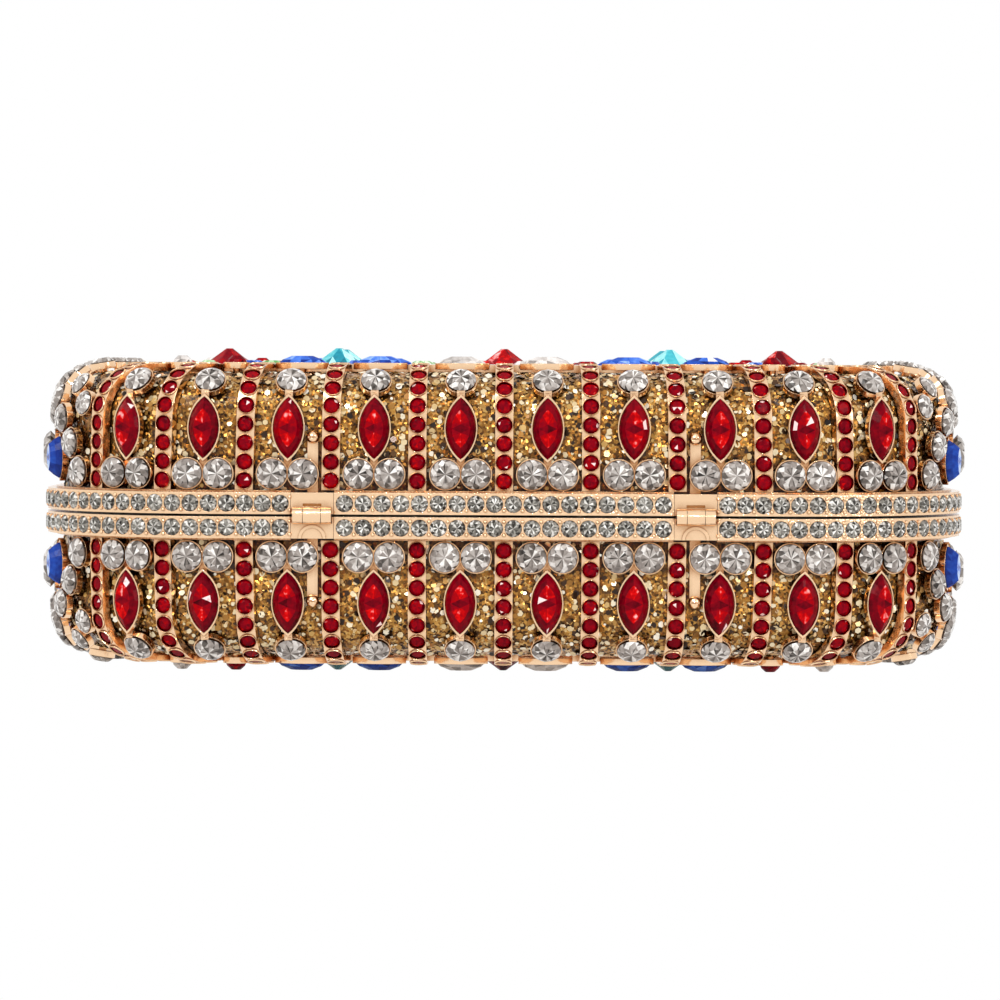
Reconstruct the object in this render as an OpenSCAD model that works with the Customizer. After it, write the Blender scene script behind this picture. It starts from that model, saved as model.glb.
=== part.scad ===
// Hard-sided evening bag: two jewelled half shells hinged along one long side,
// closed by a spring catch on the other. Both halves are alike: a glitter box, a
// rim, a cage of ribs set with stones, and an openwork face panel of flowers.
// Heights are measured from the parting plane between the two rims.

/* [Body] */
// Length over the ribs
body_l = 191; // [180:1:230]
// Depth over the ribs, from hinge side to clasp side
body_d = 114.4; // [108:0.2:130]
// Radius of the outline's corners
corner_r = 37; // [34:0.5:40]
// Height of the ribs' face above the parting plane
face_h = 31; // [30:0.5:36]
// Radius of the shoulder between wall and face
shoulder_r = 11; // [10:0.5:12]
// Distance from the ribs' outer face in to the glitter box
box_inset = 1.9; // [1.8:0.1:2.4]
// Wall of the glitter box
box_wall = 1.8; // [1.2:0.1:2.4]
// Thickness of the lining
lining_t = 0.6; // [0.4:0.1:1]

/* [Rims] */
// Height of each rim band
rim_h = 4.7; // [4.4:0.1:5]
// Gap between the closed rims
rim_gap = 0.5; // [0.3:0.1:0.8]
// How far the rim stands out past the ribs
rim_out = 1.8; // [1.5:0.1:2.2]
// Thickness of the rim's inner flange
flange_t = 1; // [0.8:0.1:1.4]
// Height of the rim's ledge that the ribs spring from
rail_h = 0.4; // [0.3:0.1:0.8]
// Radius of a rim crystal
rim_stone_r = 1.7; // [1.5:0.05:1.75]
// Aimed spacing of the rim crystals
rim_pitch = 3.9; // [3.85:0.05:5]

/* [Ribs] */
// Width of a rib
rib_w = 3.7; // [3.6:0.1:4.2]
// Thickness of the ribs
rib_t = 1.6; // [1.4:0.1:1.7]
// Spacing of the ribs along the straight sides
bay_w = 17.8; // [17.5:0.1:18.2]
// Radius of a rib ruby
rib_stone_r = 1.65; // [1.5:0.05:1.7]
// Aimed spacing of the rubies along a rib
rib_pitch = 3.85; // [3.8:0.05:4.2]
// How far the ribs reach over the flat face
rib_over = 6.42; // [6:0.02:7]
// Height of the first ruby
rib_stone_h = 7.1; // [7:0.1:8]
// Lean of the outer ribs towards the middle, from foot to shoulder
lean_wall = 0.8; // [0:0.1:1]
// Lean of the outer ribs towards the middle, over the shoulder
lean_face = 3.8; // [0:0.1:4]
// Distance from the middle past which the lean grows no more
lean_far = 56; // [50:1:60]

/* [Bays] */
// Radius of a bay's round crystals
chaton_r = 3; // [2.6:0.1:3]
// Height of the pair of round crystals beside the rim
pair_h = 8.5; // [8.5:0.1:9]
// Height of the ruby navette's lower tip
navette_foot = 11.6; // [11.2:0.1:12]
// Width of the ruby navette
navette_w = 6.2; // [5.5:0.1:6.4]
// Metal round a stone in its setting
bezel_t = 0.3; // [0.2:0.05:0.4]
// Metal past the tips of a long stone
tip_t = 0.6; // [0.4:0.05:0.7]
// Depth of a setting, back to lip
cup_d = 1.3; // [1.1:0.1:1.6]
// Metal under a stone in its setting
cup_floor = 0.5; // [0.4:0.05:0.6]
// Width of the strap behind a bay's settings
spine_w = 1.6; // [1.2:0.1:2]
// Thickness of the strap behind a bay's settings
spine_t = 0.6; // [0.4:0.1:0.7]
// Length of the stem between navette and shoulder crystal
stem_l = 1.5; // [1.2:0.1:1.8]
// Length of the long stone at the face's edge
edge_l = 10; // [8:0.1:10.5]
// Width of the long stone at the face's edge
edge_w = 4.2; // [3.6:0.1:4.4]
// Length of that stone in the bays round a corner
corner_l = 4.6; // [4.6:0.1:5.2]
// How far that stone sits towards the middle in the bay where a corner starts
bend_shift = 1.1; // [0.9:0.05:1.3]
// The same in the bay after that one
corner_shift = 0.2; // [0.1:0.05:0.3]
// Place of the shoulder crystal, as a share of the way over the shoulder
shoulder_share = 0.47; // [0.4:0.01:0.5]

/* [Ends] */
// Distance of the crystal arch's feet from the last ribs
arch_gap = 0.7; // [0.5:0.1:1]
// Height of the arch's feet
arch_foot = 8.5; // [8.4:0.1:9]
// Half height of the ellipse that the arch follows
arch_b = 36; // [35.9:0.1:36.5]
// How far that ellipse's middle lies below the parting plane
arch_drop = 4; // [3.6:0.1:4.1]
// Radius of the small crystals round the arch
small_stone_r = 2.5; // [2.2:0.1:2.6]
// Radius of the end's large crystals
end_stone_r = 4.4; // [4:0.1:4.5]
// Height of the end flower's centre
end_flower_h = 17.4; // [17:0.1:17.6]
// Height of the large crystals beside the flower
side_stone_h = 12.3; // [11.5:0.1:12.8]
// Height of the tall sapphires' middles
side_oval_h = 11.2; // [10.8:0.1:11.6]
// Length of a tall sapphire
side_oval_l = 8.8; // [8:0.1:9]
// Width of a tall sapphire
side_oval_w = 5; // [4.4:0.1:5.2]
// Length of an end petal
end_petal_l = 7.4; // [7:0.1:7.6]
// Width of an end petal
end_petal_w = 4.2; // [4:0.1:4.6]

/* [Face] */
// Width of the crystal border round the face
border_w = 4.2; // [3.8:0.1:4.6]
// Radius of a border crystal
border_stone_r = 1.5; // [1.3:0.1:1.6]
// Radius of a flower's pointed centre stone
rivoli_r = 6; // [5.5:0.1:6.2]
// Rise of a pointed stone over the ribs' face
rivoli_rise = 3.5; // [3:0.1:4]
// Length of a flower's petal
petal_l = 7.6; // [7:0.1:7.8]
// Width of a flower's petal
petal_w = 4.3; // [4:0.1:4.5]
// Width of the lattice bars between the flowers
bar_w = 1.6; // [1.2:0.1:2.2]
// Thickness of the lattice bars
bar_t = 0.6; // [0.5:0.1:0.8]

/* [Hinges] */
// Radius of the hinge knuckles
knuckle_r = 1.7; // [1.6:0.05:1.8]
// Length of the hinge barrel
barrel_l = 7.9; // [7.5:0.1:8.2]
// Length of the middle knuckle
knuckle_l = 3.6; // [3.2:0.1:4]
// Radius of the hinge pin
pin_r = 0.6; // [0.5:0.05:0.7]
// Running clearance of the pin
pin_gap = 0.05; // [0.03:0.01:0.08]
// Width of the hinge leaf
leaf_w = 8.8; // [8.6:0.1:9.6]
// Width of the leaf's strap
strap_w = 2.2; // [2:0.1:2.6]
// Thickness of the leaf's strap
strap_t = 0.75; // [0.6:0.05:0.8]
// Radius of a leaf screw's domed head
screw_r = 1.35; // [1.2:0.05:1.4]
// Width of a leaf screw's slot
screw_slot = 0.4; // [0.3:0.05:0.5]
// Distance of a hinge's middle from the rib beside it
hinge_at = 3.6; // [3.5:0.1:3.9]
// Length of the slot in the lid's leaf
slot_l = 3.8; // [3:0.1:5]
// Height of the slot in the lid's leaf
slot_h = 0.55; // [0.4:0.05:0.7]
// Radius of the half-round bead on the base's leaf
bead_r = 2.8; // [2.4:0.1:2.9]
// Height of the lid's leaf screws
lid_screw_h = 16; // [15.5:0.1:17]
// Height of the base's leaf screws
base_screw_h = 17.6; // [15.5:0.1:18]

/* [Clasp] */
// Length of the clasp button
button_l = 14; // [12:0.5:16]
// Height of the clasp button
button_h = 3; // [2.6:0.1:3.2]
// Radius of a crystal on the button
button_stone_r = 1.2; // [1:0.1:1.3]
// How far the button travels
button_travel = 1.2; // [0.8:0.1:1.3]
// Radius of the button's stem
stem_r = 0.7; // [0.6:0.05:0.8]
// Width of the spring tongue
tongue_w = 12; // [10:0.5:14]
// Thickness of the spring tongue
tongue_t = 0.4; // [0.3:0.05:0.5]
// Thickness of the keeper plate
keeper_t = 0.5; // [0.4:0.05:0.6]
// Radius of the clasp's rivets
rivet_r = 0.6; // [0.5:0.05:0.7]

/* [Chain eyes] */
// Radius of the hole for a chain's clip
eye_r = 1.6; // [1.4:0.1:2]
// Thickness of the eye
eye_t = 1.2; // [1:0.1:1.6]

/* [Hidden] */

// Overrun of a cut past the face it goes through
over = 1;
// Clearance of a stone in its seat, and of pieces that lie against each other
fit = 0.05;
// Clearance of the lining inside the box
lining_gap = 0.1;
// Depth of a round stone below its girdle, as a share of its radius
pavilion_share = 0.4;
// Height of a stone's girdle, as a share of its radius
girdle_share = 0.12;
// Height of a stone's crown, as a share of its radius
crown_share = 0.33;
// Width of a stone's table, as a share of its girdle
table_share = 0.58;
// Depth of a rib ruby's seat, as a share of the rib's thickness
seat_share = 0.75;
// Corners of a long stone along its half length, and its rings as shares of its outline and its height
petal_along_shares = [-1, -0.45, 0.45];
petal_ring_shares = [[1, 0], [table_share, 1]];
navette_along_shares = [-1, -0.6, 0, 0.6];
navette_ring_shares = [[table_share, 0], [1, pavilion_share], [table_share, 1]];

wall_h = face_h - shoulder_r;
shoulder_l = shoulder_r * PI / 2;
side_x = body_l / 2 - corner_r;
side_y = body_d / 2 - corner_r;
bend_l = corner_r * PI / 2;
end_s = side_x + bend_l + side_y;
face_t = wall_h + shoulder_l;
parting_z = face_h + rivoli_rise;
rim_low = rim_gap / 2;
seat_d = rib_t * seat_share;

// Ribs: spaced alike along the straight side, and alike from there to the middle of the corner's bend
rib_span = side_x + bend_l / 2;
rib_n = round(rib_span / bay_w);
straight_n = floor(side_x / bay_w);
corner_bay_w = (rib_span - straight_n * bay_w) / (rib_n - straight_n);
function rib_s(k) = min(k, straight_n) * bay_w + max(0, k - straight_n) * corner_bay_w;
bays = [for (k = [1:rib_n]) rib_s(k - 1 / 2)];
ribs = [for (k = [-rib_n:rib_n]) sign(k) * rib_s(abs(k))];
rib_foot = rim_h + rail_h + fit;
rib_end_t = face_t + rib_over;
rib_reach = shoulder_r + rib_over;

// Settings: their backs clear the hinge straps behind them
setting_back = box_inset - strap_t - 3 * fit;
pair_gap = chaton_r + bezel_t / 2;
shoulder_t = wall_h + shoulder_l * shoulder_share;

// The navette reaches up to the shoulder crystal's setting
navette_l = shoulder_t - chaton_r - bezel_t - tip_t - navette_foot;
navette_h = navette_foot + navette_l / 2;
edge_t = face_t + rib_over / 2;

function lens_r(a, b) = (a * a + b * b) / (2 * b);
function lens_y(x, a, b) = sqrt(pow(lens_r(a, b), 2) - x * x) - lens_r(a, b) + b;
function spread(length, pitch) =
    let (n = round(length / pitch)) [for (i = [0:n - 1]) (i + 1 / 2) * length / n];

// Puts a piece of half a bag, drawn up from the parting plane, on the lid or the base
module on_lid() { translate([0, 0, parting_z]) children(); }
module on_base() { translate([0, 0, parting_z]) mirror([0, 0, 1]) children(); }
module both_sides() { children(); mirror([0, 1, 0]) children(); }
module both_ends() { children(); mirror([1, 0, 0]) children(); }

// Puts a piece at a distance along the clasp side's outline, +Y outward
module at_outline(s) {
    turn = 90 * min(1, max(0, (abs(s) - side_x) / bend_l));
    mirror([s < 0 ? 1 : 0, 0, 0])
        translate([min(abs(s), side_x), side_y - max(0, abs(s) - side_x - bend_l), 0])
            rotate([0, 0, -turn]) translate([0, corner_r, 0]) children();
}

// Tilt, height and distance in from the wall at a distance up the wall and over the shoulder
function tilt(t) = 90 * min(1, max(0, (t - wall_h) / shoulder_l));
function skin_z(t) = min(t, wall_h) + shoulder_r * sin(tilt(t));
function skin_in(t) = shoulder_r * (1 - cos(tilt(t))) + max(0, t - face_t);

// Lean towards the middle of a piece that springs from s along the outline
function lean_part(s) = pow(min(abs(s) / lean_far, 1), 2);
function lean_up(s) = lean_part(s) * lean_wall / face_h;
function lean_in(s) = lean_part(s) * lean_face / rib_reach;
function lean(s, t) = lean_up(s) * skin_z(t) + lean_in(s) * skin_in(t);
function lean_turn(s, t) = -atan(lean_up(s) * cos(tilt(t)) + lean_in(s) * sin(tilt(t)));

// Puts a piece at a distance up the wall and over the shoulder, +Z outward
module up_wall(t) {
    translate([0, -shoulder_r - max(0, t - face_t), min(t, wall_h)]) rotate([tilt(t), 0, 0])
        translate([0, shoulder_r, 0]) rotate([90, 0, 180]) children();
}

// The same for a piece that leans with the ribs, moved along its row by x
module up_lean(s, t, x = 0) {
    translate([x - lean(s, t), 0, 0]) up_wall(t) rotate([0, 0, lean_turn(s, t)]) children();
}

module on_skin(s, t, turn = 0) { at_outline(s) up_wall(t) rotate([0, 0, turn]) children(); }

// Sweeps a section round the outline: x outward from the corner's centre, y up
module round_body() {
    for (qx = [0, 1], qy = [0, 1]) mirror([qx, 0, 0]) mirror([0, qy, 0])
        translate([side_x, side_y, 0]) rotate_extrude(angle = 90) children();
    for (qy = [0, 1]) mirror([0, qy, 0])
        translate([-side_x, side_y, 0]) rotate([90, 0, 90]) linear_extrude(2 * side_x) children();
    for (qx = [0, 1]) mirror([qx, 0, 0])
        translate([side_x, side_y, 0]) rotate([90, 0, 0]) linear_extrude(2 * side_y) children();
}

// Section of a skin that lies a distance inside the ribs' outer face
module skin_section(inset, wall, foot, reach) {
    hub = corner_r - shoulder_r;
    translate([corner_r - inset - wall, foot]) square([wall, wall_h - foot]);
    translate([hub, wall_h]) intersection() {
        difference() {
            circle(shoulder_r - inset);
            circle(shoulder_r - inset - wall);
        }
        square(shoulder_r);
    }
    translate([corner_r - reach, face_h - inset - wall]) square([reach - shoulder_r, wall]);
}

// A closed half shell
module shell(inset, wall, foot) {
    round_body() skin_section(inset, wall, foot, corner_r);
    translate([-side_x, -side_y, face_h - inset - wall]) cube([2 * side_x, 2 * side_y, wall]);
}

// A flat bar across the skin, following its section
module skin_bar(w, inset, wall, foot, reach) {
    rotate([90, 0, 90]) translate([0, 0, -w / 2]) linear_extrude(w)
        translate([-corner_r, 0]) skin_section(inset, wall, foot, reach);
}

// The outline, a distance inside the ribs' outer face
module rounded(inset) {
    r = corner_r - inset;
    square([2 * side_x, 2 * (side_y + r)], center = true);
    square([2 * (side_x + r), 2 * side_y], center = true);
    for (x = [-side_x, side_x], y = [-side_y, side_y]) translate([x, y]) circle(r);
}

// A pointed oval with its length along x
module lens(l, w) {
    r = lens_r(l / 2, w / 2);
    intersection() {
        translate([0, w / 2 - r]) circle(r);
        translate([0, r - w / 2]) circle(r);
    }
}

// A round stone standing on its seat
module round_stone(r) {
    low = r * pavilion_share;
    top = low + r * crown_share;
    rotate_extrude() polygon([[0, 0], [r * table_share, 0], [r, low], [r * table_share, top], [0, top]]);
}

// A stone cut to a point, with a small flat on top
module pointed_stone(r, rise) {
    low = r * girdle_share;
    rotate_extrude() polygon([[0, 0], [r, 0], [r, low], [r * girdle_share, rise], [0, rise]]);
}

// A faceted pointed oval stone standing on its seat, its length along x
module oval_stone(l, w, rise, along_shares = petal_along_shares, ring_shares = petal_ring_shares) {
    half = [for (u = along_shares) [u * l / 2, lens_y(u * l / 2, l / 2, w / 2)]];
    rim = concat(half, -half);
    n = len(rim);
    rings = [for (share = ring_shares) [share[0], share[1] * rise]];
    points = [for (ring = rings, p = rim) [p.x * ring[0], p.y * ring[0], ring[1]]];
    sides = [for (k = [0:len(rings) - 2], i = [0:n - 1])
             [k * n + i, k * n + (i + 1) % n, (k + 1) * n + (i + 1) % n, (k + 1) * n + i]];
    polyhedron(points, concat([[for (i = [n - 1:-1:0]) i]], sides,
                              [[for (i = [0:n - 1]) (len(rings) - 1) * n + i]]));
}

// A round setting with its seat, its back at the settings' back
module cup(r) {
    translate([0, 0, -setting_back]) difference() {
        cylinder(h = cup_d, r = r + bezel_t);
        translate([0, 0, cup_floor]) cylinder(h = cup_d + over, r = r + fit);
    }
}

module oval_cup(l, w) {
    translate([0, 0, -setting_back]) {
        linear_extrude(cup_floor) lens(l + 2 * tip_t, w + 2 * bezel_t);
        linear_extrude(cup_d) difference() {
            lens(l + 2 * tip_t, w + 2 * bezel_t);
            lens(l + 2 * fit, w + 2 * fit);
        }
    }
}

module in_cup() { translate([0, 0, cup_floor - setting_back]) children(); }

// Places of the bays and the ribs on the outline: $s is their distance along it
module each_bay() { both_sides() for ($s = bays, side = [-1, 1]) at_outline($s * side) children(); }
module each_rib() { both_sides() for ($s = ribs) at_outline($s) children(); }

// Glitter boxes and linings

box_foot = rim_low + flange_t + fit;
lining_inset = box_inset + box_wall + lining_gap;
flange_in = lining_inset + lining_t + 2 * lining_gap;
lug_top = rim_low + flange_t + 4 * fit;
stem_h = lug_top + tongue_t + stem_r + 4 * fit;

// The hole that the clasp button's stem passes through
module stem_hole() {
    translate([0, body_d / 2 + rim_out, stem_h]) rotate([90, 0, 0])
        cylinder(h = rim_out + flange_in + over, r = stem_r + pin_gap);
}

module box_shell() { shell(box_inset, box_wall, box_foot); }
module lining_shell() { shell(lining_inset, lining_t, box_foot); }
module back_box() { color([0.62, 0.45, 0.16]) on_base() difference() { box_shell(); stem_hole(); } }
module front_box() { color([0.62, 0.45, 0.16]) on_lid() box_shell(); }
module back_lining() { color([0.80, 0.68, 0.45]) on_base() difference() { lining_shell(); stem_hole(); } }
module front_lining() { color([0.80, 0.68, 0.45]) on_lid() lining_shell(); }

// Rims

hinge_x = 2 * bay_w + hinge_at;
notch_w = leaf_w + 2 * fit;
// Size of the lug that carries the clasp's spring or keeper
lug_w = tongue_w + 4 * rivet_r;
lug_d = 2;
lug_in = body_d / 2 - flange_in - lug_d;
cap_in = body_d / 2 + rim_out - button_travel - 4 * fit;
rim_seat_d = rim_stone_r * pavilion_share + 2 * fit;

// Places of the rim crystals on one long side and round the two corners
rim_bend_l = (corner_r + rim_out) * PI / 2;
side_row = [for (s = spread(2 * side_x, rim_pitch)) s - side_x];
hinge_in = hinge_x - leaf_w / 2 - bezel_t;
hinge_out = hinge_x + leaf_w / 2 + bezel_t;
hinge_row = concat([for (s = spread(2 * hinge_in, rim_pitch)) s - hinge_in],
                   [for (s = spread(side_x - hinge_out, rim_pitch), side = [-1, 1])
                    side * (hinge_out + s)]);
clasp_row = [for (s = side_row) if (abs(s) > button_l / 2 + rim_stone_r + bezel_t) s];

module rim_section() {
    translate([corner_r - flange_in, rim_low]) square([flange_in + rim_out, flange_t]);
    translate([corner_r - rim_out, rim_low]) square([2 * rim_out, rim_h - rim_low]);
    translate([corner_r - rib_t, rim_low]) square([rib_t, rim_h + rail_h - rim_low]);
}

module at_rim(s) {
    at_outline(s) translate([0, rim_out, (rim_low + rim_h) / 2]) rotate([90, 0, 180]) children();
}

// Every rim crystal's place, with or without room for the clasp button
module each_rim_stone(clasp) {
    for (s = clasp ? clasp_row : side_row) at_rim(s) children();
    mirror([0, 1, 0]) for (s = hinge_row) at_rim(s) children();
    both_sides() both_ends() for (l = spread(rim_bend_l, rim_pitch))
        at_rim(side_x + l * bend_l / rim_bend_l) children();
    both_ends() for (l = spread(2 * side_y, rim_pitch)) at_rim(side_x + bend_l + l) children();
}

module rim_body(clasp) {
    difference() {
        union() {
            round_body() rim_section();
            translate([-lug_w / 2, lug_in, rim_low]) cube([lug_w, lug_d + fit, flange_t + 4 * fit]);
        }
        each_rim_stone(clasp) translate([0, 0, -rim_seat_d])
            cylinder(h = rim_seat_d + over, r = rim_stone_r + fit);
        for (side = [-1, 1]) translate([side * hinge_x - notch_w / 2, -body_d / 2 - rim_out - over, -over])
            cube([notch_w, 2 * rim_out + over + fit, rim_h + rail_h + 2 * over]);
        for (side = [-1, 1]) translate([side * (tongue_w / 2 - 2 * rivet_r), lug_in + lug_d / 2, -over])
            cylinder(h = rim_h, r = rivet_r + pin_gap);
        if (clasp) {
            translate([-button_l / 2 - 2 * fit, cap_in, -over])
                cube([button_l + 4 * fit, 2 * rim_out, rim_h + 2 * over]);
            stem_hole();
        }
    }
}

module back_rim() { color([0.87, 0.70, 0.52]) on_base() rim_body(true); }
module front_rim() { color([0.87, 0.70, 0.52]) on_lid() rim_body(false); }

module rim_stones(clasp) { each_rim_stone(clasp) translate([0, 0, -rim_seat_d]) round_stone(rim_stone_r); }
module back_rim_crystals() { color([0.88, 0.90, 0.93]) on_base() rim_stones(true); }
module front_rim_crystals() { color([0.88, 0.90, 0.93]) on_lid() rim_stones(false); }

// Cage of ribs

// Heights of a rib's rubies, spaced alike from the first to the rib's end
rib_row_l = rib_end_t - rib_stone_h - rib_stone_r - bezel_t;
rib_row_n = round(rib_row_l / rib_pitch);
rib_row = [for (i = [0:rib_row_n]) rib_stone_h + i * rib_row_l / rib_row_n];

module each_rib_seat() { for (t = rib_row) up_lean($s, t) translate([0, 0, -seat_d]) children(); }
module each_rib_stone() { each_rib() each_rib_seat() children(); }

// The slab that a leaning rib is cut to, its thickness along x
module rib_slab() {
    size = norm([1, lean_in($s), lean_up($s)]);
    rotate([0, -asin(lean_up($s) / size), -atan(lean_in($s))])
        cube([rib_w / size, 2 * (rib_reach + rib_t + over), 2 * (face_h + over)], center = true);
}

module cage() {
    each_rib() difference() {
        intersection() {
            skin_bar(2 * (lean($s, rib_end_t) + rib_w), 0, rib_t, rib_foot, rib_reach);
            rib_slab();
        }
        each_rib_seat() cylinder(h = seat_d + over, r = rib_stone_r + fit);
    }
}

module back_cage() { color([0.89, 0.72, 0.54]) on_base() cage(); }
module front_cage() { color([0.89, 0.72, 0.54]) on_lid() cage(); }

module rib_stones_set() { each_rib_stone() round_stone(rib_stone_r); }
module back_rib_rubies() { color([0.78, 0.05, 0.16]) on_base() rib_stones_set(); }
module front_rib_rubies() { color([0.78, 0.05, 0.16]) on_lid() rib_stones_set(); }

// Settings of the bays between the ribs

function edge_length(s) = s < side_x ? edge_l : corner_l;
// The bays round a corner have their edge stones nearer to the side's middle
function edge_x(s) = s < side_x ? 0 : s < side_x + bay_w / 2 ? -bend_shift : -corner_shift;

module bay_settings() {
    each_bay() {
        up_lean($s, navette_h) {
            post();
            rotate([0, 0, 90]) oval_cup(navette_l, navette_w);
            translate([-spine_w / 2, pair_h - navette_h, cup_floor - setting_back - spine_t])
                cube([spine_w, navette_h - pair_h + navette_l / 2 + stem_l, spine_t]);
        }
        for (side = [-1, 1]) up_lean($s, pair_h, side * pair_gap) cup(chaton_r);
        up_lean($s, shoulder_t) { cup(chaton_r); post(); }
        up_lean($s, edge_t, edge_x($s)) { oval_cup(edge_length($s), edge_w); post(); }
    }
}

module back_bay_settings() { color([0.91, 0.75, 0.58]) on_base() bay_settings(); }
module front_bay_settings() { color([0.91, 0.75, 0.58]) on_lid() bay_settings(); }

module row_stones() {
    each_bay() for (side = [-1, 1]) up_lean($s, pair_h, side * pair_gap) in_cup() round_stone(chaton_r);
}
module back_row_crystals() { color([0.88, 0.90, 0.93]) on_base() row_stones(); }
module front_row_crystals() { color([0.88, 0.90, 0.93]) on_lid() row_stones(); }

module navettes() {
    each_bay() up_lean($s, navette_h) in_cup() rotate([0, 0, 90])
        oval_stone(navette_l, navette_w, chaton_r * (crown_share + pavilion_share),
                   navette_along_shares, navette_ring_shares);
}
module back_ruby_navettes() { color([0.80, 0.03, 0.14]) on_base() navettes(); }
module front_ruby_navettes() { color([0.80, 0.03, 0.14]) on_lid() navettes(); }

module shoulder_stones() {
    each_bay() up_lean($s, shoulder_t) in_cup() round_stone(chaton_r);
    each_spandrel() in_cup() round_stone(small_stone_r);
}
module back_shoulder_crystals() { color([0.88, 0.90, 0.93]) on_base() shoulder_stones(); }
module front_shoulder_crystals() { color([0.88, 0.90, 0.93]) on_lid() shoulder_stones(); }

module edge_stones() {
    each_bay() up_lean($s, edge_t, edge_x($s)) in_cup()
        oval_stone(edge_length($s), edge_w, chaton_r * (crown_share + pavilion_share));
}
module back_edge_stones() { color([0.10, 0.20, 0.65]) on_base() edge_stones(); }
module front_edge_stones() { color([0.10, 0.20, 0.65]) on_lid() edge_stones(); }

// Ends: an arch of crystals over a sapphire flower

// The arch's path from its foot to its top, as pairs of length and angle
arch_steps = 60;
arch_from = asin((arch_foot + arch_drop) / arch_b);
arch_x = end_s - rib_span - rib_w / 2 - chaton_r - bezel_t - arch_gap;
arch_a = arch_x / cos(arch_from);
function arch_angle(i) = arch_from + (90 - arch_from) * i / arch_steps;
function arch_point(u) = [arch_a * cos(u), arch_b * sin(u) - arch_drop];
arch_table = [for (i = 0, l = 0; i <= arch_steps;
                   l = l + norm(arch_point(arch_angle(i + 1)) - arch_point(arch_angle(i))),
                   i = i + 1) [l, arch_angle(i)]];
arch_l = arch_table[arch_steps][0];
arch_n = round(arch_l / (2 * chaton_r + 3 * bezel_t) + 1 / 2);
arch_angles = [for (i = [0:arch_n - 1]) lookup(i * arch_l / (arch_n - 1 / 2), arch_table)];

// Crystals outside the arch: share of the half width at its feet, share of the rib's length
spandrel_shares = [[1.035, 0.52], [0.92, 0.62], [0.703, 0.812], [0.422, 0.892], [0.141, 0.925]];
// Crystals inside the arch, beside the flower
flank_shares = [[0.374, 0.213], [0.549, 0.469], [0.397, 0.465]];
// Places of the large crystals and the tall sapphires, as shares of the same half width
side_stone_share = 0.551;
side_oval_share = 0.751;
end_petal_n = 6;
end_petal_turn = 360 / end_petal_n;
end_petal_at = end_stone_r + bezel_t + end_petal_l / 2;

module each_arch() { both_ends() both_sides() for (u = arch_angles)
    on_skin(end_s - arch_point(u).x, arch_point(u).y) children(); }
module each_spandrel() { both_ends() both_sides() for (p = spandrel_shares)
    on_skin(end_s - p[0] * arch_x, p[1] * rib_end_t) children(); }
module each_flank() { both_ends() both_sides() for (p = flank_shares)
    on_skin(end_s - p[0] * arch_x, p[1] * rib_end_t) children(); }
module each_end_petal() { both_ends() for (k = [0:end_petal_n - 1]) {
    a = k * end_petal_turn;
    on_skin(end_s + end_petal_at * cos(a), end_flower_h + end_petal_at * sin(a), 180 - a) children(); } }
module each_side_oval() { both_ends() both_sides()
    on_skin(end_s - side_oval_share * arch_x, side_oval_h, 90) children(); }
module each_large_stone() { both_ends() {
    on_skin(end_s, end_flower_h) children();
    both_sides() on_skin(end_s - side_stone_share * arch_x, side_stone_h) children(); } }

// A post from a setting's back in to the box
module post() {
    translate([0, 0, fit - box_inset]) cylinder(h = box_inset - setting_back, r = spine_w / 2);
}

module end_settings() {
    each_arch() { cup(chaton_r); post(); }
    each_spandrel() { cup(small_stone_r); post(); }
    each_flank() { cup(small_stone_r); post(); }
    each_end_petal() { oval_cup(end_petal_l, end_petal_w); post(); }
    each_side_oval() { oval_cup(side_oval_l, side_oval_w); post(); }
    each_large_stone() { cup(end_stone_r); post(); }
}

module back_end_settings() { color([0.91, 0.75, 0.58]) on_base() end_settings(); }
module front_end_settings() { color([0.91, 0.75, 0.58]) on_lid() end_settings(); }

module arch_stones() { each_arch() in_cup() round_stone(chaton_r); }
module back_arch_crystals() { color([0.88, 0.90, 0.93]) on_base() arch_stones(); }
module front_arch_crystals() { color([0.88, 0.90, 0.93]) on_lid() arch_stones(); }

module end_petals() {
    each_end_petal() in_cup() oval_stone(end_petal_l, end_petal_w, end_stone_r * pavilion_share);
    each_side_oval() in_cup()
        oval_stone(side_oval_l, side_oval_w, end_stone_r * (crown_share + pavilion_share),
                   navette_along_shares, navette_ring_shares);
}
module back_end_sapphires() { color([0.08, 0.20, 0.66]) on_base() end_petals(); }
module front_end_sapphires() { color([0.08, 0.20, 0.66]) on_lid() end_petals(); }

module end_stones() {
    each_large_stone() in_cup() round_stone(end_stone_r);
    each_flank() in_cup() round_stone(small_stone_r);
}
module back_end_crystals() { color([0.88, 0.90, 0.93]) on_base() end_stones(); }
module front_end_crystals() { color([0.88, 0.90, 0.93]) on_lid() end_stones(); }

// Face panels: flowers on a lattice inside a crystal border

border_out = rib_reach + fit;
border_in = border_out + border_w;
flower_shares = [[0, 0.5], [0.48, 0.5], [0.815, 0]];
small_shares = [[0.24, 0], [0.5, 0], [0.235, 0.86], [0.72, 0.86]];
petal_n = 8;
flower_turn = 360 / petal_n;
petal_at = rivoli_r + bezel_t + petal_l / 2;
inner_x = body_l / 2 - border_in;
inner_y = body_d / 2 - border_in;
panel_seat = face_h - rib_t + bar_t;

// The border crystals' line, as a distance round a quarter of it
border_mid = (border_out + border_in) / 2;
border_bend_r = corner_r - border_mid;
border_bend_l = border_bend_r * PI / 2;
border_pitch = 2 * border_stone_r + 4 * bezel_t;

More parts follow.
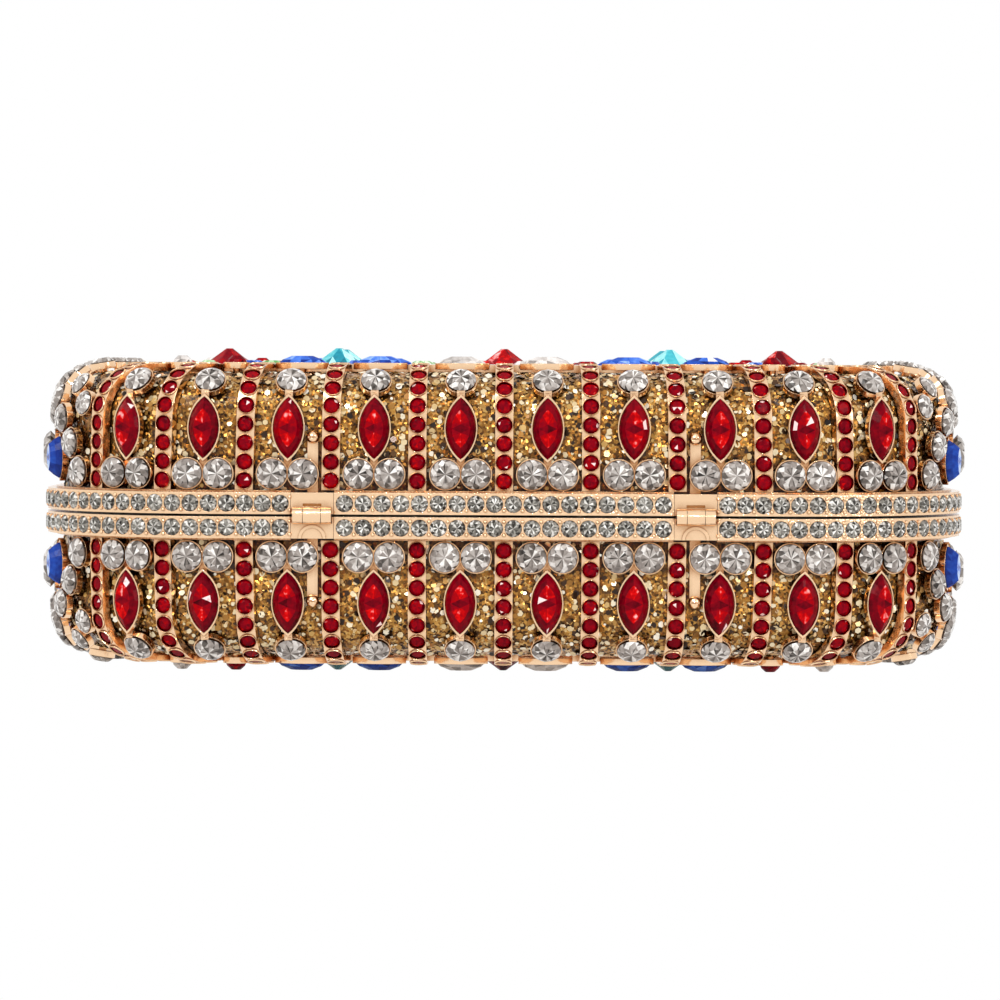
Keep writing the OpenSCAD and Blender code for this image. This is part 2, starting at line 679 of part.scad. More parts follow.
// Places a child at every flower of the face
module each_flower() {
    for (p = flower_shares, sx = p.x == 0 ? [1] : [-1, 1], sy = p.y == 0 ? [1] : [-1, 1])
        translate([sx * p.x * inner_x, sy * p.y * inner_y]) children();
}
module each_petal() {
    each_flower() for (k = [0:petal_n - 1])
        rotate((k + 1 / 2) * flower_turn) translate([petal_at, 0]) children();
}
module each_small() {
    for (p = small_shares, sx = [-1, 1], sy = p.y == 0 ? [1] : [-1, 1])
        translate([sx * p.x * inner_x, sy * p.y * inner_y]) children();
}
module each_border() {
    for (sx = [0, 1], sy = [0, 1]) mirror([sx, 0]) mirror([0, sy]) {
        for (l = spread(side_x, border_pitch)) translate([l, side_y + border_bend_r]) children();
        for (l = spread(side_y, border_pitch)) translate([side_x + border_bend_r, l]) children();
        for (l = spread(border_bend_l, border_pitch)) translate([side_x, side_y])
            rotate(l / border_bend_r * 180 / PI) translate([border_bend_r, 0]) children();
    }
}

module panel_outline() {
    each_flower() circle(rivoli_r + 2 * bezel_t);
    each_petal() lens(petal_l + 2 * tip_t, petal_w + 2 * bezel_t);
    each_small() circle(small_stone_r + bezel_t);
    difference() { rounded(border_out); rounded(border_in); }
}
module panel_lattice() {
    for (y = [-1, 0, 1]) translate([0, y * flower_shares[0].y * inner_y])
        square([2 * inner_x + border_w, bar_w], center = true);
    for (x = [-flower_shares[1].x, 0, flower_shares[1].x]) translate([x * inner_x, 0])
        square([bar_w, 2 * inner_y + border_w], center = true);
    for (p = small_shares, sx = [-1, 1]) translate([sx * p.x * inner_x, 0])
        square([bar_w, 2 * inner_y + border_w], center = true);
}
module face_panel() {
    translate([0, 0, face_h - rib_t]) linear_extrude(bar_t) { panel_outline(); panel_lattice(); }
    translate([0, 0, panel_seat]) linear_extrude(rib_t - bar_t) difference() {
        panel_outline();
        each_flower() circle(rivoli_r + fit);
        each_petal() lens(petal_l, petal_w);
        each_small() circle(small_stone_r + fit);
        each_border() circle(border_stone_r + fit);
    }
}
module back_face_panel() { color([0.90, 0.74, 0.56]) on_base() face_panel(); }
module front_face_panel() { color([0.90, 0.74, 0.56]) on_lid() face_panel(); }

module rivolis() {
    translate([0, 0, panel_seat]) each_flower() pointed_stone(rivoli_r, parting_z - panel_seat);
}
module back_rivolis() { color([0.15, 0.62, 0.70]) on_base() rivolis(); }
module front_rivolis() { color([0.15, 0.62, 0.70]) on_lid() rivolis(); }

module petals() {
    translate([0, 0, panel_seat]) each_petal()
        oval_stone(petal_l - 2 * fit, petal_w - 2 * fit, rib_t + bezel_t);
}
module back_petals() { color([0.10, 0.22, 0.68]) on_base() petals(); }
module front_petals() { color([0.10, 0.22, 0.68]) on_lid() petals(); }

module border_stones() { translate([0, 0, panel_seat]) each_border() round_stone(border_stone_r); }
module back_border_crystals() { color([0.88, 0.90, 0.93]) on_base() border_stones(); }
module front_border_crystals() { color([0.88, 0.90, 0.93]) on_lid() border_stones(); }

module small_stones() { translate([0, 0, panel_seat]) each_small() round_stone(small_stone_r); }
module back_face_crystals() { color([0.90, 0.90, 0.93]) on_base() small_stones(); }
module front_face_crystals() { color([0.90, 0.90, 0.93]) on_lid() small_stones(); }

// Hinges

axis_y = -body_d / 2 - rim_out - knuckle_r / 2 + 3 * fit;
leaf_y = -body_d / 2 - rim_out + 2 * fit;
leaf_back = -body_d / 2 + rim_out;
knuckle_gap = 2 * fit;
side_l = (barrel_l - knuckle_l) / 2 - knuckle_gap;
strap_y = leaf_back - strap_t - fit;

// A length of the hinge barrel, starting at a place along it
module barrel(start, length, r) {
    translate([start, axis_y, 0]) rotate([0, 90, 0]) cylinder(h = length, r = r);
}

module knuckle(start, length) {
    difference() {
        union() {
            barrel(start, length, knuckle_r);
            translate([start, axis_y, rim_low])
                cube([length, leaf_y - axis_y + rim_out, knuckle_r - rim_low]);
        }
        barrel(start - over, length + 2 * over, pin_r + pin_gap);
    }
}

// A half-round bead on the leaf's outer face
module leaf_bead() {
    translate([0, leaf_y + fit, rim_h]) rotate([90, 0, 0]) linear_extrude(bezel_t) intersection() {
        difference() { circle(bead_r); circle(bead_r - 2 * bezel_t); }
        translate([-bead_r, -bead_r]) square([2 * bead_r, bead_r]);
    }
}

// A leaf, drawn up from the parting plane round x = 0: middle is true for the single knuckle
module hinge_leaf(screw_h, middle) {
    side_at = knuckle_l / 2 + knuckle_gap;
    own = middle ? [[-knuckle_l / 2, knuckle_l]] : [[side_at, side_l], [-side_at - side_l, side_l]];
    other = middle ? [[side_at - knuckle_gap, side_l + 2 * knuckle_gap],
                      [-side_at - side_l - knuckle_gap, side_l + 2 * knuckle_gap]]
                   : [[-side_at, 2 * side_at]];
    difference() {
        union() {
            translate([-leaf_w / 2, leaf_y, rim_low + fit])
                cube([leaf_w, leaf_back - leaf_y, rim_h - rim_low - fit]);
            translate([-strap_w / 2, strap_y, rim_h - fit]) cube([strap_w, strap_t, screw_h - rim_h]);
            translate([0, strap_y + strap_t, screw_h]) rotate([90, 0, 0])
                cylinder(h = strap_t, r = strap_w / 2 - fit);
            for (k = own) knuckle(k[0], k[1]);
            if (middle) leaf_bead();
        }
        if (!middle) translate([-slot_l / 2, leaf_y - over, knuckle_r + 4 * fit])
            cube([slot_l, 2 * over, slot_h]);
        for (k = other) barrel(k[0], k[1], knuckle_r + knuckle_gap);
        translate([0, leaf_back, screw_h]) rotate([90, 0, 0])
            cylinder(h = 2 * rim_out, r = pin_r + pin_gap);
        barrel(-leaf_w, 2 * leaf_w, pin_r + pin_gap);
    }
}

module at_hinge(side) { mirror([side < 0 ? 1 : 0, 0, 0]) translate([hinge_x, 0, 0]) children(); }
module lid_leaf(side) { color([0.88, 0.70, 0.51]) on_lid() at_hinge(side) hinge_leaf(lid_screw_h, false); }
module base_leaf(side) {
    color([0.88, 0.70, 0.51]) on_base() at_hinge(side) hinge_leaf(base_screw_h, true);
}
module hinge_pin(side) {
    color([0.80, 0.62, 0.45]) on_lid() at_hinge(side) barrel(-barrel_l / 2, barrel_l, pin_r);
}
module left_hinge_lid_leaf() { lid_leaf(-1); }
module right_hinge_lid_leaf() { lid_leaf(1); }
module left_hinge_base_leaf() { base_leaf(-1); }
module right_hinge_base_leaf() { base_leaf(1); }
module left_hinge_pin() { hinge_pin(-1); }
module right_hinge_pin() { hinge_pin(1); }

// A slotted screw through the leaf's strap
module leaf_screw(h) {
    translate([hinge_x, strap_y, h]) rotate([90, 0, 0]) {
        difference() {
            rotate_extrude() intersection() { circle(screw_r); square(screw_r); }
            translate([-screw_r - over, -screw_slot / 2, screw_r - screw_slot])
                cube([2 * (screw_r + over), screw_slot, screw_r]);
        }
        translate([0, 0, -strap_t - fit]) cylinder(h = strap_t + 2 * fit, r = pin_r);
    }
}
module lid_leaf_screws() { color([0.85, 0.68, 0.50]) on_lid() both_ends() leaf_screw(lid_screw_h); }
module base_leaf_screws() { color([0.85, 0.68, 0.50]) on_base() both_ends() leaf_screw(base_screw_h); }

// Eyes for a chain, soldered inside the base rim's ends

eye_x = body_l / 2 - flange_in - 2 * eye_r;
module chain_eye() {
    translate([0, 0, rim_low]) difference() {
        union() {
            translate([eye_x, 0, 0]) cylinder(h = eye_t, r = 2 * eye_r);
            translate([eye_x, -2 * eye_r, 0]) cube([body_l / 2 - flange_in - eye_x, 4 * eye_r, eye_t]);
        }
        translate([eye_x, 0, -over]) cylinder(h = eye_t + 2 * over, r = eye_r);
    }
}
module left_chain_eye() { color([0.86, 0.69, 0.50]) on_base() mirror([1, 0, 0]) chain_eye(); }
module right_chain_eye() { color([0.86, 0.69, 0.50]) on_base() chain_eye(); }

// Clasp: the button's stem pushes a spring tongue off the lid's keeper

cap_out = -axis_y + knuckle_r - button_stone_r * crown_share;
tongue_y = lug_in - 3 * tongue_t - fit;
keeper_y = lug_in - tongue_t;
rivet_x = tongue_w / 2 - 2 * rivet_r;
button_mid = (rim_low + rim_h) / 2;

module clasp_button() {
    color([0.89, 0.72, 0.54]) on_base() difference() {
        union() {
            translate([-button_l / 2, cap_in + button_travel + 2 * fit, button_mid - button_h / 2])
                cube([button_l, cap_out - cap_in - button_travel - 2 * fit, button_h]);
            translate([0, cap_out - 2 * fit, stem_h]) rotate([90, 0, 0])
                cylinder(h = cap_out - 3 * fit - tongue_y - tongue_t, r = stem_r);
        }
        each_button_stone() translate([0, 0, -button_stone_r * pavilion_share])
            cylinder(h = button_stone_r + over, r = button_stone_r + fit);
    }
}
module each_button_stone() {
    for (k = [-1, 0, 1]) translate([k * button_l / 3, cap_out, button_mid]) rotate([90, 0, 180]) children();
}
module button_crystals() {
    color([0.88, 0.90, 0.93]) on_base() each_button_stone()
        translate([0, 0, -button_stone_r * pavilion_share]) round_stone(button_stone_r);
}

module latch_tongue() {
    nose_h = lug_top + keeper_t + 2 * fit;
    nose_w = 2 * (rivet_x - 2 * rivet_r);
    color([0.75, 0.75, 0.77]) on_base() difference() {
        union() {
            translate([-tongue_w / 2, tongue_y, lug_top + fit])
                cube([tongue_w, lug_in + lug_d - tongue_y, tongue_t]);
            translate([-tongue_w / 2, tongue_y, -nose_h - tongue_t])
                cube([tongue_w, tongue_t, nose_h + tongue_t + stem_h + stem_r]);
            translate([-nose_w / 2, tongue_y, -nose_h - tongue_t])
                cube([nose_w, keeper_y - tongue_y + 2 * tongue_t, tongue_t]);
        }
        for (side = [-1, 1]) translate([side * rivet_x, lug_in + lug_d / 2, 0])
            cylinder(h = lug_top + 2 * tongue_t + over, r = rivet_r + pin_gap);
    }
}

// Two rivets through a plate and the lug
module rivets(plate_t) {
    for (side = [-1, 1]) translate([side * rivet_x, lug_in + lug_d / 2, rim_low]) {
        cylinder(h = lug_top + plate_t + 2 * fit - rim_low, r = rivet_r);
        translate([0, 0, lug_top + plate_t + 2 * fit - rim_low])
            cylinder(h = tongue_t, r = rivet_r * 3 / 2);
    }
}
module tongue_rivets() { color([0.80, 0.80, 0.82]) on_base() rivets(tongue_t); }
module keeper_rivets() { color([0.80, 0.80, 0.82]) on_lid() rivets(keeper_t); }
module lid_keeper() {
    color([0.75, 0.75, 0.77]) on_lid() difference() {
        translate([-tongue_w / 2, keeper_y, lug_top + fit])
            cube([tongue_w, lug_in + lug_d - keeper_y, keeper_t]);
        for (side = [-1, 1]) translate([side * rivet_x, lug_in + lug_d / 2, 0])
            cylinder(h = lug_top + keeper_t + over, r = rivet_r + pin_gap);
    }
}

back_box();
front_box();
back_lining();
front_lining();
back_rim();
front_rim();
back_cage();
front_cage();
back_bay_settings();
front_bay_settings();
back_end_settings();
front_end_settings();
back_face_panel();
front_face_panel();
back_rib_rubies();
front_rib_rubies();
back_rim_crystals();
front_rim_crystals();
back_row_crystals();
front_row_crystals();
back_shoulder_crystals();
front_shoulder_crystals();
back_ruby_navettes();
front_ruby_navettes();
back_edge_stones();
front_edge_stones();
back_arch_crystals();
front_arch_crystals();
back_end_sapphires();
front_end_sapphires();
back_end_crystals();
front_end_crystals();
back_rivolis();
front_rivolis();
back_petals();
front_petals();
back_border_crystals();
front_border_crystals();
back_face_crystals();
front_face_crystals();
left_hinge_lid_leaf();
left_hinge_base_leaf();
left_hinge_pin();
right_hinge_lid_leaf();
right_hinge_base_leaf();
right_hinge_pin();
lid_leaf_screws();
base_leaf_screws();
left_chain_eye();
right_chain_eye();
clasp_button();
button_crystals();
latch_tongue();
tongue_rivets();
lid_keeper();
keeper_rivets();
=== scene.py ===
"""Dresses a jewelled evening bag: cut stones, cast gold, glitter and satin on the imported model."""

import logging
import math
import random
from collections.abc import Callable, Iterable, Iterator
from dataclasses import dataclass, field
from enum import Enum

import bpy
from mathutils import Euler, Matrix, Vector

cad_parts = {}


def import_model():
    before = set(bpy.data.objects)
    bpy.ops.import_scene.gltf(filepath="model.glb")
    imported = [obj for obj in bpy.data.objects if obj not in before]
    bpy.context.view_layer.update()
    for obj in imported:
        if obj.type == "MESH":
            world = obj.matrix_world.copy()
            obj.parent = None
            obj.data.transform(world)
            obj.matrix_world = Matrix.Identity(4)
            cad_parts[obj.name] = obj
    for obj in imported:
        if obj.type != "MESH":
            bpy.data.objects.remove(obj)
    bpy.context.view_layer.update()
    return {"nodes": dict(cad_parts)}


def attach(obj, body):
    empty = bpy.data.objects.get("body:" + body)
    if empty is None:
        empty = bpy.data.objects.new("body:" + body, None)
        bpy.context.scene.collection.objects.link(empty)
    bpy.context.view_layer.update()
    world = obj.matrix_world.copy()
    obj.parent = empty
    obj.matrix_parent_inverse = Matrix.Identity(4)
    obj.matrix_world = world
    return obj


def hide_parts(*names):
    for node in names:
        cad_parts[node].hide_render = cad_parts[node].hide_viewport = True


log = logging.getLogger("evening_bag")

MM = 0.001
IMAGE_PX = 1000
Colour = tuple[float, float, float]
Stops = tuple[tuple[float, Colour], ...]
Shares = tuple[tuple[float, float], ...]
Outline = list[tuple[float, float]]


class Half(Enum):
    """One half shell: its nodes' prefix, the body it rides on, and which way its face looks."""

    FRONT = ("front", "lid", 1)
    BACK = ("back", "base", -1)

    @property
    def prefix(self) -> str:
        """The word that this half's node names start with."""
        return self.value[0]

    @property
    def body(self) -> str:
        """The moving body that this half belongs to."""
        return self.value[1]

    @property
    def up(self) -> int:
        """1 where the face looks up, -1 where it looks down."""
        return self.value[2]


def spread(length: float, pitch: float) -> list[float]:
    """Places of copies spaced alike along a length.

    Args:
        length: The length to fill, in millimetres.
        pitch: The spacing to aim for.

    Returns:
        The distance of each copy from the start.
    """
    count = round(length / pitch)
    return [(i + 0.5) * length / count for i in range(count)]


def turned(degrees: float, axis: str) -> Matrix:
    """A rotation of some degrees about an axis."""
    return Matrix.Rotation(math.radians(degrees), 4, axis)


def moved(x: float, y: float, z: float) -> Matrix:
    """A move by x, y and z."""
    return Matrix.Translation((x, y, z))


AS_DRAWN = Matrix.Identity(4)
MIRROR_X = Matrix.Diagonal((-1, 1, 1, 1))
MIRROR_Y = Matrix.Diagonal((1, -1, 1, 1))
MIRROR_Z = Matrix.Diagonal((1, 1, -1, 1))


@dataclass(frozen=True)
class Skin:
    """The jewelled skin of both halves, in millimetres, and the places of what is set in it."""

    body_l: float = 191.0
    body_d: float = 114.4
    corner_r: float = 37.0
    face_h: float = 31.0
    shoulder_r: float = 11.0
    rise: float = 3.5

    @property
    def wall_h(self) -> float:
        """Height of the upright part of the wall."""
        return self.face_h - self.shoulder_r

    @property
    def shoulder_l(self) -> float:
        """Length of the way over the shoulder."""
        return self.shoulder_r * math.pi / 2

    @property
    def side_x(self) -> float:
        """Half length of the straight long side."""
        return self.body_l / 2 - self.corner_r

    @property
    def side_y(self) -> float:
        """Half length of the straight end."""
        return self.body_d / 2 - self.corner_r

    @property
    def bend_l(self) -> float:
        """Length of the way round a corner."""
        return self.corner_r * math.pi / 2

    @property
    def end_s(self) -> float:
        """Distance along the outline from the middle of a side to the middle of an end."""
        return self.side_x + self.bend_l + self.side_y

    @property
    def face_t(self) -> float:
        """Distance up the skin to the start of the flat face."""
        return self.wall_h + self.shoulder_l

    def tilt(self, t: float) -> float:
        """Tilt of the skin in degrees at a distance up it."""
        return 90 * min(1.0, max(0.0, (t - self.wall_h) / self.shoulder_l))

    @property
    def parting_z(self) -> float:
        """Height of the parting plane over the table."""
        return self.face_h + self.rise

    def half(self, half: Half) -> Matrix:
        """Moves a piece drawn up from the parting plane to its half."""
        lift = moved(0, 0, self.parting_z)
        return lift if half.up > 0 else lift @ MIRROR_Z

    def outline(self, s: float) -> Matrix:
        """The place at a distance along the clasp side's outline, +Y outward.

        Args:
            s: Distance from the middle of the side, negative to the left.

        Returns:
            The matrix that moves a piece there.
        """
        far = abs(s)
        turn = 90 * min(1.0, max(0.0, (far - self.side_x) / self.bend_l))
        back = max(0.0, far - self.side_x - self.bend_l)
        place = moved(min(far, self.side_x), self.side_y - back, 0) @ turned(-turn, "Z")
        place = place @ moved(0, self.corner_r, 0)
        return MIRROR_X @ place if s < 0 else place

    def up_wall(self, t: float) -> Matrix:
        """The place at a distance up the skin, +Z outward and +Y up the skin.

        Args:
            t: Distance from the parting plane.

        Returns:
            The matrix that moves a piece there from the outline.
        """
        foot = moved(0, -self.shoulder_r - max(0.0, t - self.face_t), min(t, self.wall_h))
        return (foot @ turned(self.tilt(t), "X") @ moved(0, self.shoulder_r, 0)
                @ turned(180, "Z") @ turned(90, "X"))

    def on_skin(self, s: float, t: float, turn: float = 0.0) -> Matrix:
        """The place at s along the outline and t up the skin, turned about its normal."""
        return self.outline(s) @ self.up_wall(t) @ turned(turn, "Z")


@dataclass(frozen=True)
class Plan:
    """The stones' sizes and places, in millimetres, as the metalwork holds them.

    PAVILION_SHARE and CROWN_TOP_SHARE are the heights of a round stone's girdle and of its top
    over its seat, as shares of its radius.
    """

    PAVILION_SHARE = 0.4
    CROWN_TOP_SHARE = 0.73

    skin: Skin = Skin()
    fit: float = 0.05
    rib_w: float = 3.7
    rib_t: float = 1.6
    rib_seat_share: float = 0.75
    bay_w: float = 17.8
    rib_stone_r: float = 1.65
    rib_pitch: float = 3.85
    rib_stones: int = 10
    rib_stone_h: float = 7.1
    lean_wall: float = 0.8
    lean_face: float = 3.8
    lean_far: float = 56.0
    bezel_t: float = 0.3
    rim_low: float = 0.25
    rim_h: float = 4.7
    rim_out: float = 1.8
    rim_stone_r: float = 1.7
    rim_sink: float = 0.1
    rim_pitch: float = 3.9
    chaton_r: float = 3.0
    pair_h: float = 8.5
    navette_h: float = 17.9
    navette_l: float = 12.6
    navette_w: float = 6.2
    shoulder_share: float = 0.47
    edge_l: float = 10.0
    edge_w: float = 4.2
    corner_l: float = 4.6
    bend_shift: float = 1.1
    corner_shift: float = 0.2
    setting_back: float = 1.0
    cup_floor: float = 0.5
    arch_gap: float = 0.7
    arch_b: float = 36.0
    arch_drop: float = 4.0
    arch_foot: float = 8.5
    small_stone_r: float = 2.5
    end_stone_r: float = 4.4
    end_flower_h: float = 17.4
    side_stone_share: float = 0.551
    side_stone_h: float = 12.3
    side_oval_share: float = 0.751
    side_oval_h: float = 11.2
    side_oval_l: float = 8.8
    side_oval_w: float = 5.0
    end_petals: int = 6
    end_petal_l: float = 7.4
    end_petal_w: float = 4.2
    border_w: float = 4.2
    border_stone_r: float = 1.5
    rivoli_r: float = 6.0
    petals: int = 8
    petal_l: float = 7.6
    petal_w: float = 4.3
    bar_t: float = 0.6
    leaf_w: float = 8.8
    hinge_at: float = 3.6
    button_l: float = 14.0
    spandrels: Shares = ((1.035, 0.52), (0.92, 0.62), (0.703, 0.812), (0.422, 0.892),
                         (0.141, 0.925))
    flanks: Shares = ((0.374, 0.213), (0.549, 0.469), (0.397, 0.465))
    flowers: Shares = ((0.0, 0.5), (0.48, 0.5), (0.815, 0.0))
    smalls: Shares = ((0.24, 0.0), (0.5, 0.0), (0.235, 0.86), (0.72, 0.86))

    @property
    def rib_n(self) -> int:
        """Ribs on each side of the middle one."""
        return round((self.skin.side_x + self.skin.bend_l / 2) / self.bay_w)

    def rib_s(self, k: float) -> float:
        """Distance along the outline to a rib, or to a bay's middle.

        Args:
            k: Its number from the middle rib; a bay's middle lies at a half.

        Returns:
            The distance from the middle of the side.
        """
        straight_n = math.floor(self.skin.side_x / self.bay_w)
        rest = self.skin.side_x + self.skin.bend_l / 2 - straight_n * self.bay_w
        rest_n = self.rib_n - straight_n
        return min(k, straight_n) * self.bay_w + max(0.0, k - straight_n) * rest / rest_n

    @property
    def rib_end_t(self) -> float:
        """Distance up the skin to the ribs' ends."""
        row_l = (self.rib_stones - 1) * self.rib_pitch
        return self.rib_stone_h + row_l + self.rib_stone_r + self.bezel_t

    @property
    def rib_reach(self) -> float:
        """Distance in from the outline to the ribs' ends."""
        return self.skin.shoulder_r + self.rib_end_t - self.skin.face_t

    @property
    def rib_seat_d(self) -> float:
        """Depth of the rubies' seats in the ribs."""
        return self.rib_t * self.rib_seat_share

    @property
    def shoulder_t(self) -> float:
        """Distance up the skin to the crystals on the shoulder."""
        return self.skin.wall_h + self.skin.shoulder_l * self.shoulder_share

    @property
    def edge_t(self) -> float:
        """Distance up the skin to the long stones at the face's edge."""
        return self.skin.face_t + (self.rib_end_t - self.skin.face_t) / 2

    @property
    def border_out(self) -> float:
        """Distance in from the outline to the face's border."""
        return self.rib_reach + self.fit

    @property
    def inner(self) -> tuple[float, float]:
        """Half length and half depth of the face inside its border."""
        inset = self.border_out + self.border_w
        return self.skin.body_l / 2 - inset, self.skin.body_d / 2 - inset

    @property
    def hinge_x(self) -> float:
        """Distance of each hinge from the middle."""
        return 2 * self.bay_w + self.hinge_at

    @property
    def panel_seat(self) -> float:
        """Height of the stones' seats in the face panel."""
        return self.skin.face_h - self.rib_t + self.bar_t

    def sides(self) -> Iterator[Matrix]:
        """The clasp side as drawn, and the hinge side as its mirror image."""
        yield AS_DRAWN
        yield MIRROR_Y

    def ends(self) -> Iterator[Matrix]:
        """The right end as drawn, and the left end as its mirror image."""
        yield AS_DRAWN
        yield MIRROR_X

    def leant(self, s: float, t: float, x: float = 0.0) -> Matrix:
        """The place of a piece that leans with the ribs.

        Args:
            s: Distance of its rib or bay along the outline.
            t: Distance up the skin.
            x: Distance along its row, away from the middle.

        Returns:
            The matrix that moves the piece there.
        """
        skin = self.skin
        tilt = math.radians(skin.tilt(t))
        part = min(abs(s) / self.lean_far, 1.0) ** 2
        up = part * self.lean_wall / skin.face_h
        inward = part * self.lean_face / self.rib_reach
        high = min(t, skin.wall_h) + skin.shoulder_r * math.sin(tilt)
        deep = skin.shoulder_r * (1 - math.cos(tilt)) + max(0.0, t - skin.face_t)
        turn = -math.degrees(math.atan(up * math.cos(tilt) + inward * math.sin(tilt)))
        return (skin.outline(s) @ moved(x - up * high - inward * deep, 0, 0) @ skin.up_wall(t)
                @ turned(turn, "Z"))

    def bay_places(self, t: float, x: float = 0.0) -> Iterator[tuple[int, Matrix]]:
        """Each bay's number from the middle, and a place in it.

        Args:
            t: Distance up the skin.
            x: Distance along the row, away from the middle.

        Yields:
            The number and the matrix.
        """
        for side in self.sides():
            for k in range(self.rib_n):
                for sign in (-1, 1):
                    yield k, side @ self.leant(sign * self.rib_s(k + 0.5), t, x) @ self.in_cup()

    def rib_places(self) -> Iterator[Matrix]:
        """Every rib ruby's seat.

        Yields:
            The matrix of each seat.
        """
        for side in self.sides():
            for k in range(-self.rib_n, self.rib_n + 1):
                for i in range(self.rib_stones):
                    t = self.rib_stone_h + i * self.rib_pitch
                    place = self.leant(math.copysign(self.rib_s(abs(k)), k), t)
                    yield side @ place @ moved(0, 0, -self.rib_seat_d)

    def rim_places(self, clasp: bool) -> Iterator[Matrix]:
        """Every rim crystal's seat.

        Args:
            clasp: Whether this rim leaves room for the clasp button.

        Yields:
            The matrix of each seat.
        """
        skin = self.skin
        row = [s - skin.side_x for s in spread(2 * skin.side_x, self.rim_pitch)]
        gap = self.rim_stone_r + self.bezel_t
        near = self.hinge_x - self.leaf_w / 2 - self.bezel_t
        far = self.hinge_x + self.leaf_w / 2 + self.bezel_t
        hinge_row = [s - near for s in spread(2 * near, self.rim_pitch)]
        hinge_row += [sign * (far + s) for s in spread(skin.side_x - far, self.rim_pitch)
                      for sign in (-1, 1)]
        clasp_row = [s for s in row if abs(s) > self.button_l / 2 + gap] if clasp else row
        bend = (skin.corner_r + self.rim_out) * math.pi / 2
        places = [skin.outline(s) for s in clasp_row]
        places += [MIRROR_Y @ skin.outline(s) for s in hinge_row]
        for end in self.ends():
            for side in self.sides():
                places += [side @ end @ skin.outline(skin.side_x + l * skin.bend_l / bend)
                           for l in spread(bend, self.rim_pitch)]
            places += [end @ skin.outline(skin.side_x + skin.bend_l + l)
                       for l in spread(2 * skin.side_y, self.rim_pitch)]
        depth = self.rim_stone_r * self.PAVILION_SHARE + self.rim_sink
        middle = (self.rim_low + self.rim_h) / 2
        for place in places:
            yield (place @ moved(0, self.rim_out, middle) @ turned(180, "Z") @ turned(90, "X")
                   @ moved(0, 0, -depth))

    def in_cup(self) -> Matrix:
        """Moves a stone down to the floor of its setting."""
        return moved(0, 0, self.cup_floor - self.setting_back)

    @property
    def arch_x(self) -> float:
        """Half width of the crystal arch at its feet."""
        last_rib = self.skin.side_x + self.skin.bend_l / 2 + self.rib_w / 2
        return self.skin.end_s - last_rib - self.chaton_r - self.bezel_t - self.arch_gap

    def arch_places(self) -> Iterator[Matrix]:
        """Every seat of the crystal arches round the ends.

        Yields:
            The matrix of each seat.
        """
        steps = 60
        start = math.asin((self.arch_foot + self.arch_drop) / self.arch_b)
        step = (math.pi / 2 - start) / steps
        arch_a = self.arch_x / math.cos(start)
        points = [Vector((arch_a * math.cos(start + i * step),
                          self.arch_b * math.sin(start + i * step) - self.arch_drop))
                  for i in range(steps + 1)]
        lengths = [0.0]
        for a, b in zip(points, points[1:]):
            lengths.append(lengths[-1] + (b - a).length)
        count = round(lengths[-1] / (2 * self.chaton_r + 3 * self.bezel_t) + 0.5)
        for i in range(count):
            l = i * lengths[-1] / (count - 0.5)
            k = max(j for j in range(steps) if lengths[j] <= l)
            point = points[k].lerp(points[k + 1], (l - lengths[k]) / (lengths[k + 1] - lengths[k]))
            at = self.skin.on_skin(self.skin.end_s - point.x, point.y)
            for end in self.ends():
                for side in self.sides():
                    yield end @ side @ at @ self.in_cup()

    def share_places(self, shares: Shares) -> Iterator[Matrix]:
        """Seats beside the arches.

        Args:
            shares: For each, shares of the arch's half width and of a rib's length.

        Yields:
            The matrix of each seat.
        """
        for a, b in shares:
            at = self.skin.on_skin(self.skin.end_s - a * self.arch_x, b * self.rib_end_t)
            for end in self.ends():
                for side in self.sides():
                    yield end @ side @ at @ self.in_cup()

    def end_petal_places(self) -> Iterator[Matrix]:
        """Seats of the petals of the flowers on both ends.

        Yields:
            The matrix of each seat.
        """
        reach = self.end_stone_r + self.bezel_t + self.end_petal_l / 2
        for end in self.ends():
            for k in range(self.end_petals):
                a = k * 360 / self.end_petals
                s = self.skin.end_s + reach * math.cos(math.radians(a))
                t = self.end_flower_h + reach * math.sin(math.radians(a))
                yield end @ self.skin.on_skin(s, t, 180 - a) @ self.in_cup()

    def large_places(self) -> Iterator[Matrix]:
        """Seats of the large stones in the middle of both ends and beside it.

        Yields:
            The matrix of each seat.
        """
        skin = self.skin
        for end in self.ends():
            yield end @ skin.on_skin(skin.end_s, self.end_flower_h) @ self.in_cup()
            for side in self.sides():
                s = skin.end_s - self.side_stone_share * self.arch_x
                yield end @ side @ skin.on_skin(s, self.side_stone_h) @ self.in_cup()

    def side_oval_places(self) -> Iterator[Matrix]:
        """Seats of the tall sapphires at both ends.

        Yields:
            The matrix of each seat.
        """
        s = self.skin.end_s - self.side_oval_share * self.arch_x
        at = self.skin.on_skin(s, self.side_oval_h, 90)
        for end in self.ends():
            for side in self.sides():
                yield end @ side @ at @ self.in_cup()

    def face_seats(self, x: float, y: float) -> Iterator[tuple[int, Matrix]]:
        """A seat in the face panel and its mirror images.

        Args:
            x: Its share of the half length inside the border.
            y: Its share of the half depth inside the border.

        Yields:
            -1 on the left or 1, and the matrix of the seat.
        """
        for sx in ((1,) if x == 0 else (-1, 1)):
            for sy in ((1,) if y == 0 else (-1, 1)):
                yield sx, moved(sx * x * self.inner[0], sy * y * self.inner[1], self.panel_seat)

    def flower_places(self) -> Iterator[tuple[int, Matrix]]:
        """The middles of the face's flowers.

        Yields:
            Each flower's kind and its middle on the panel's seats.
        """
        for kind, (x, y) in enumerate(self.flowers):
            for _, seat in self.face_seats(x, y):
                yield kind, seat

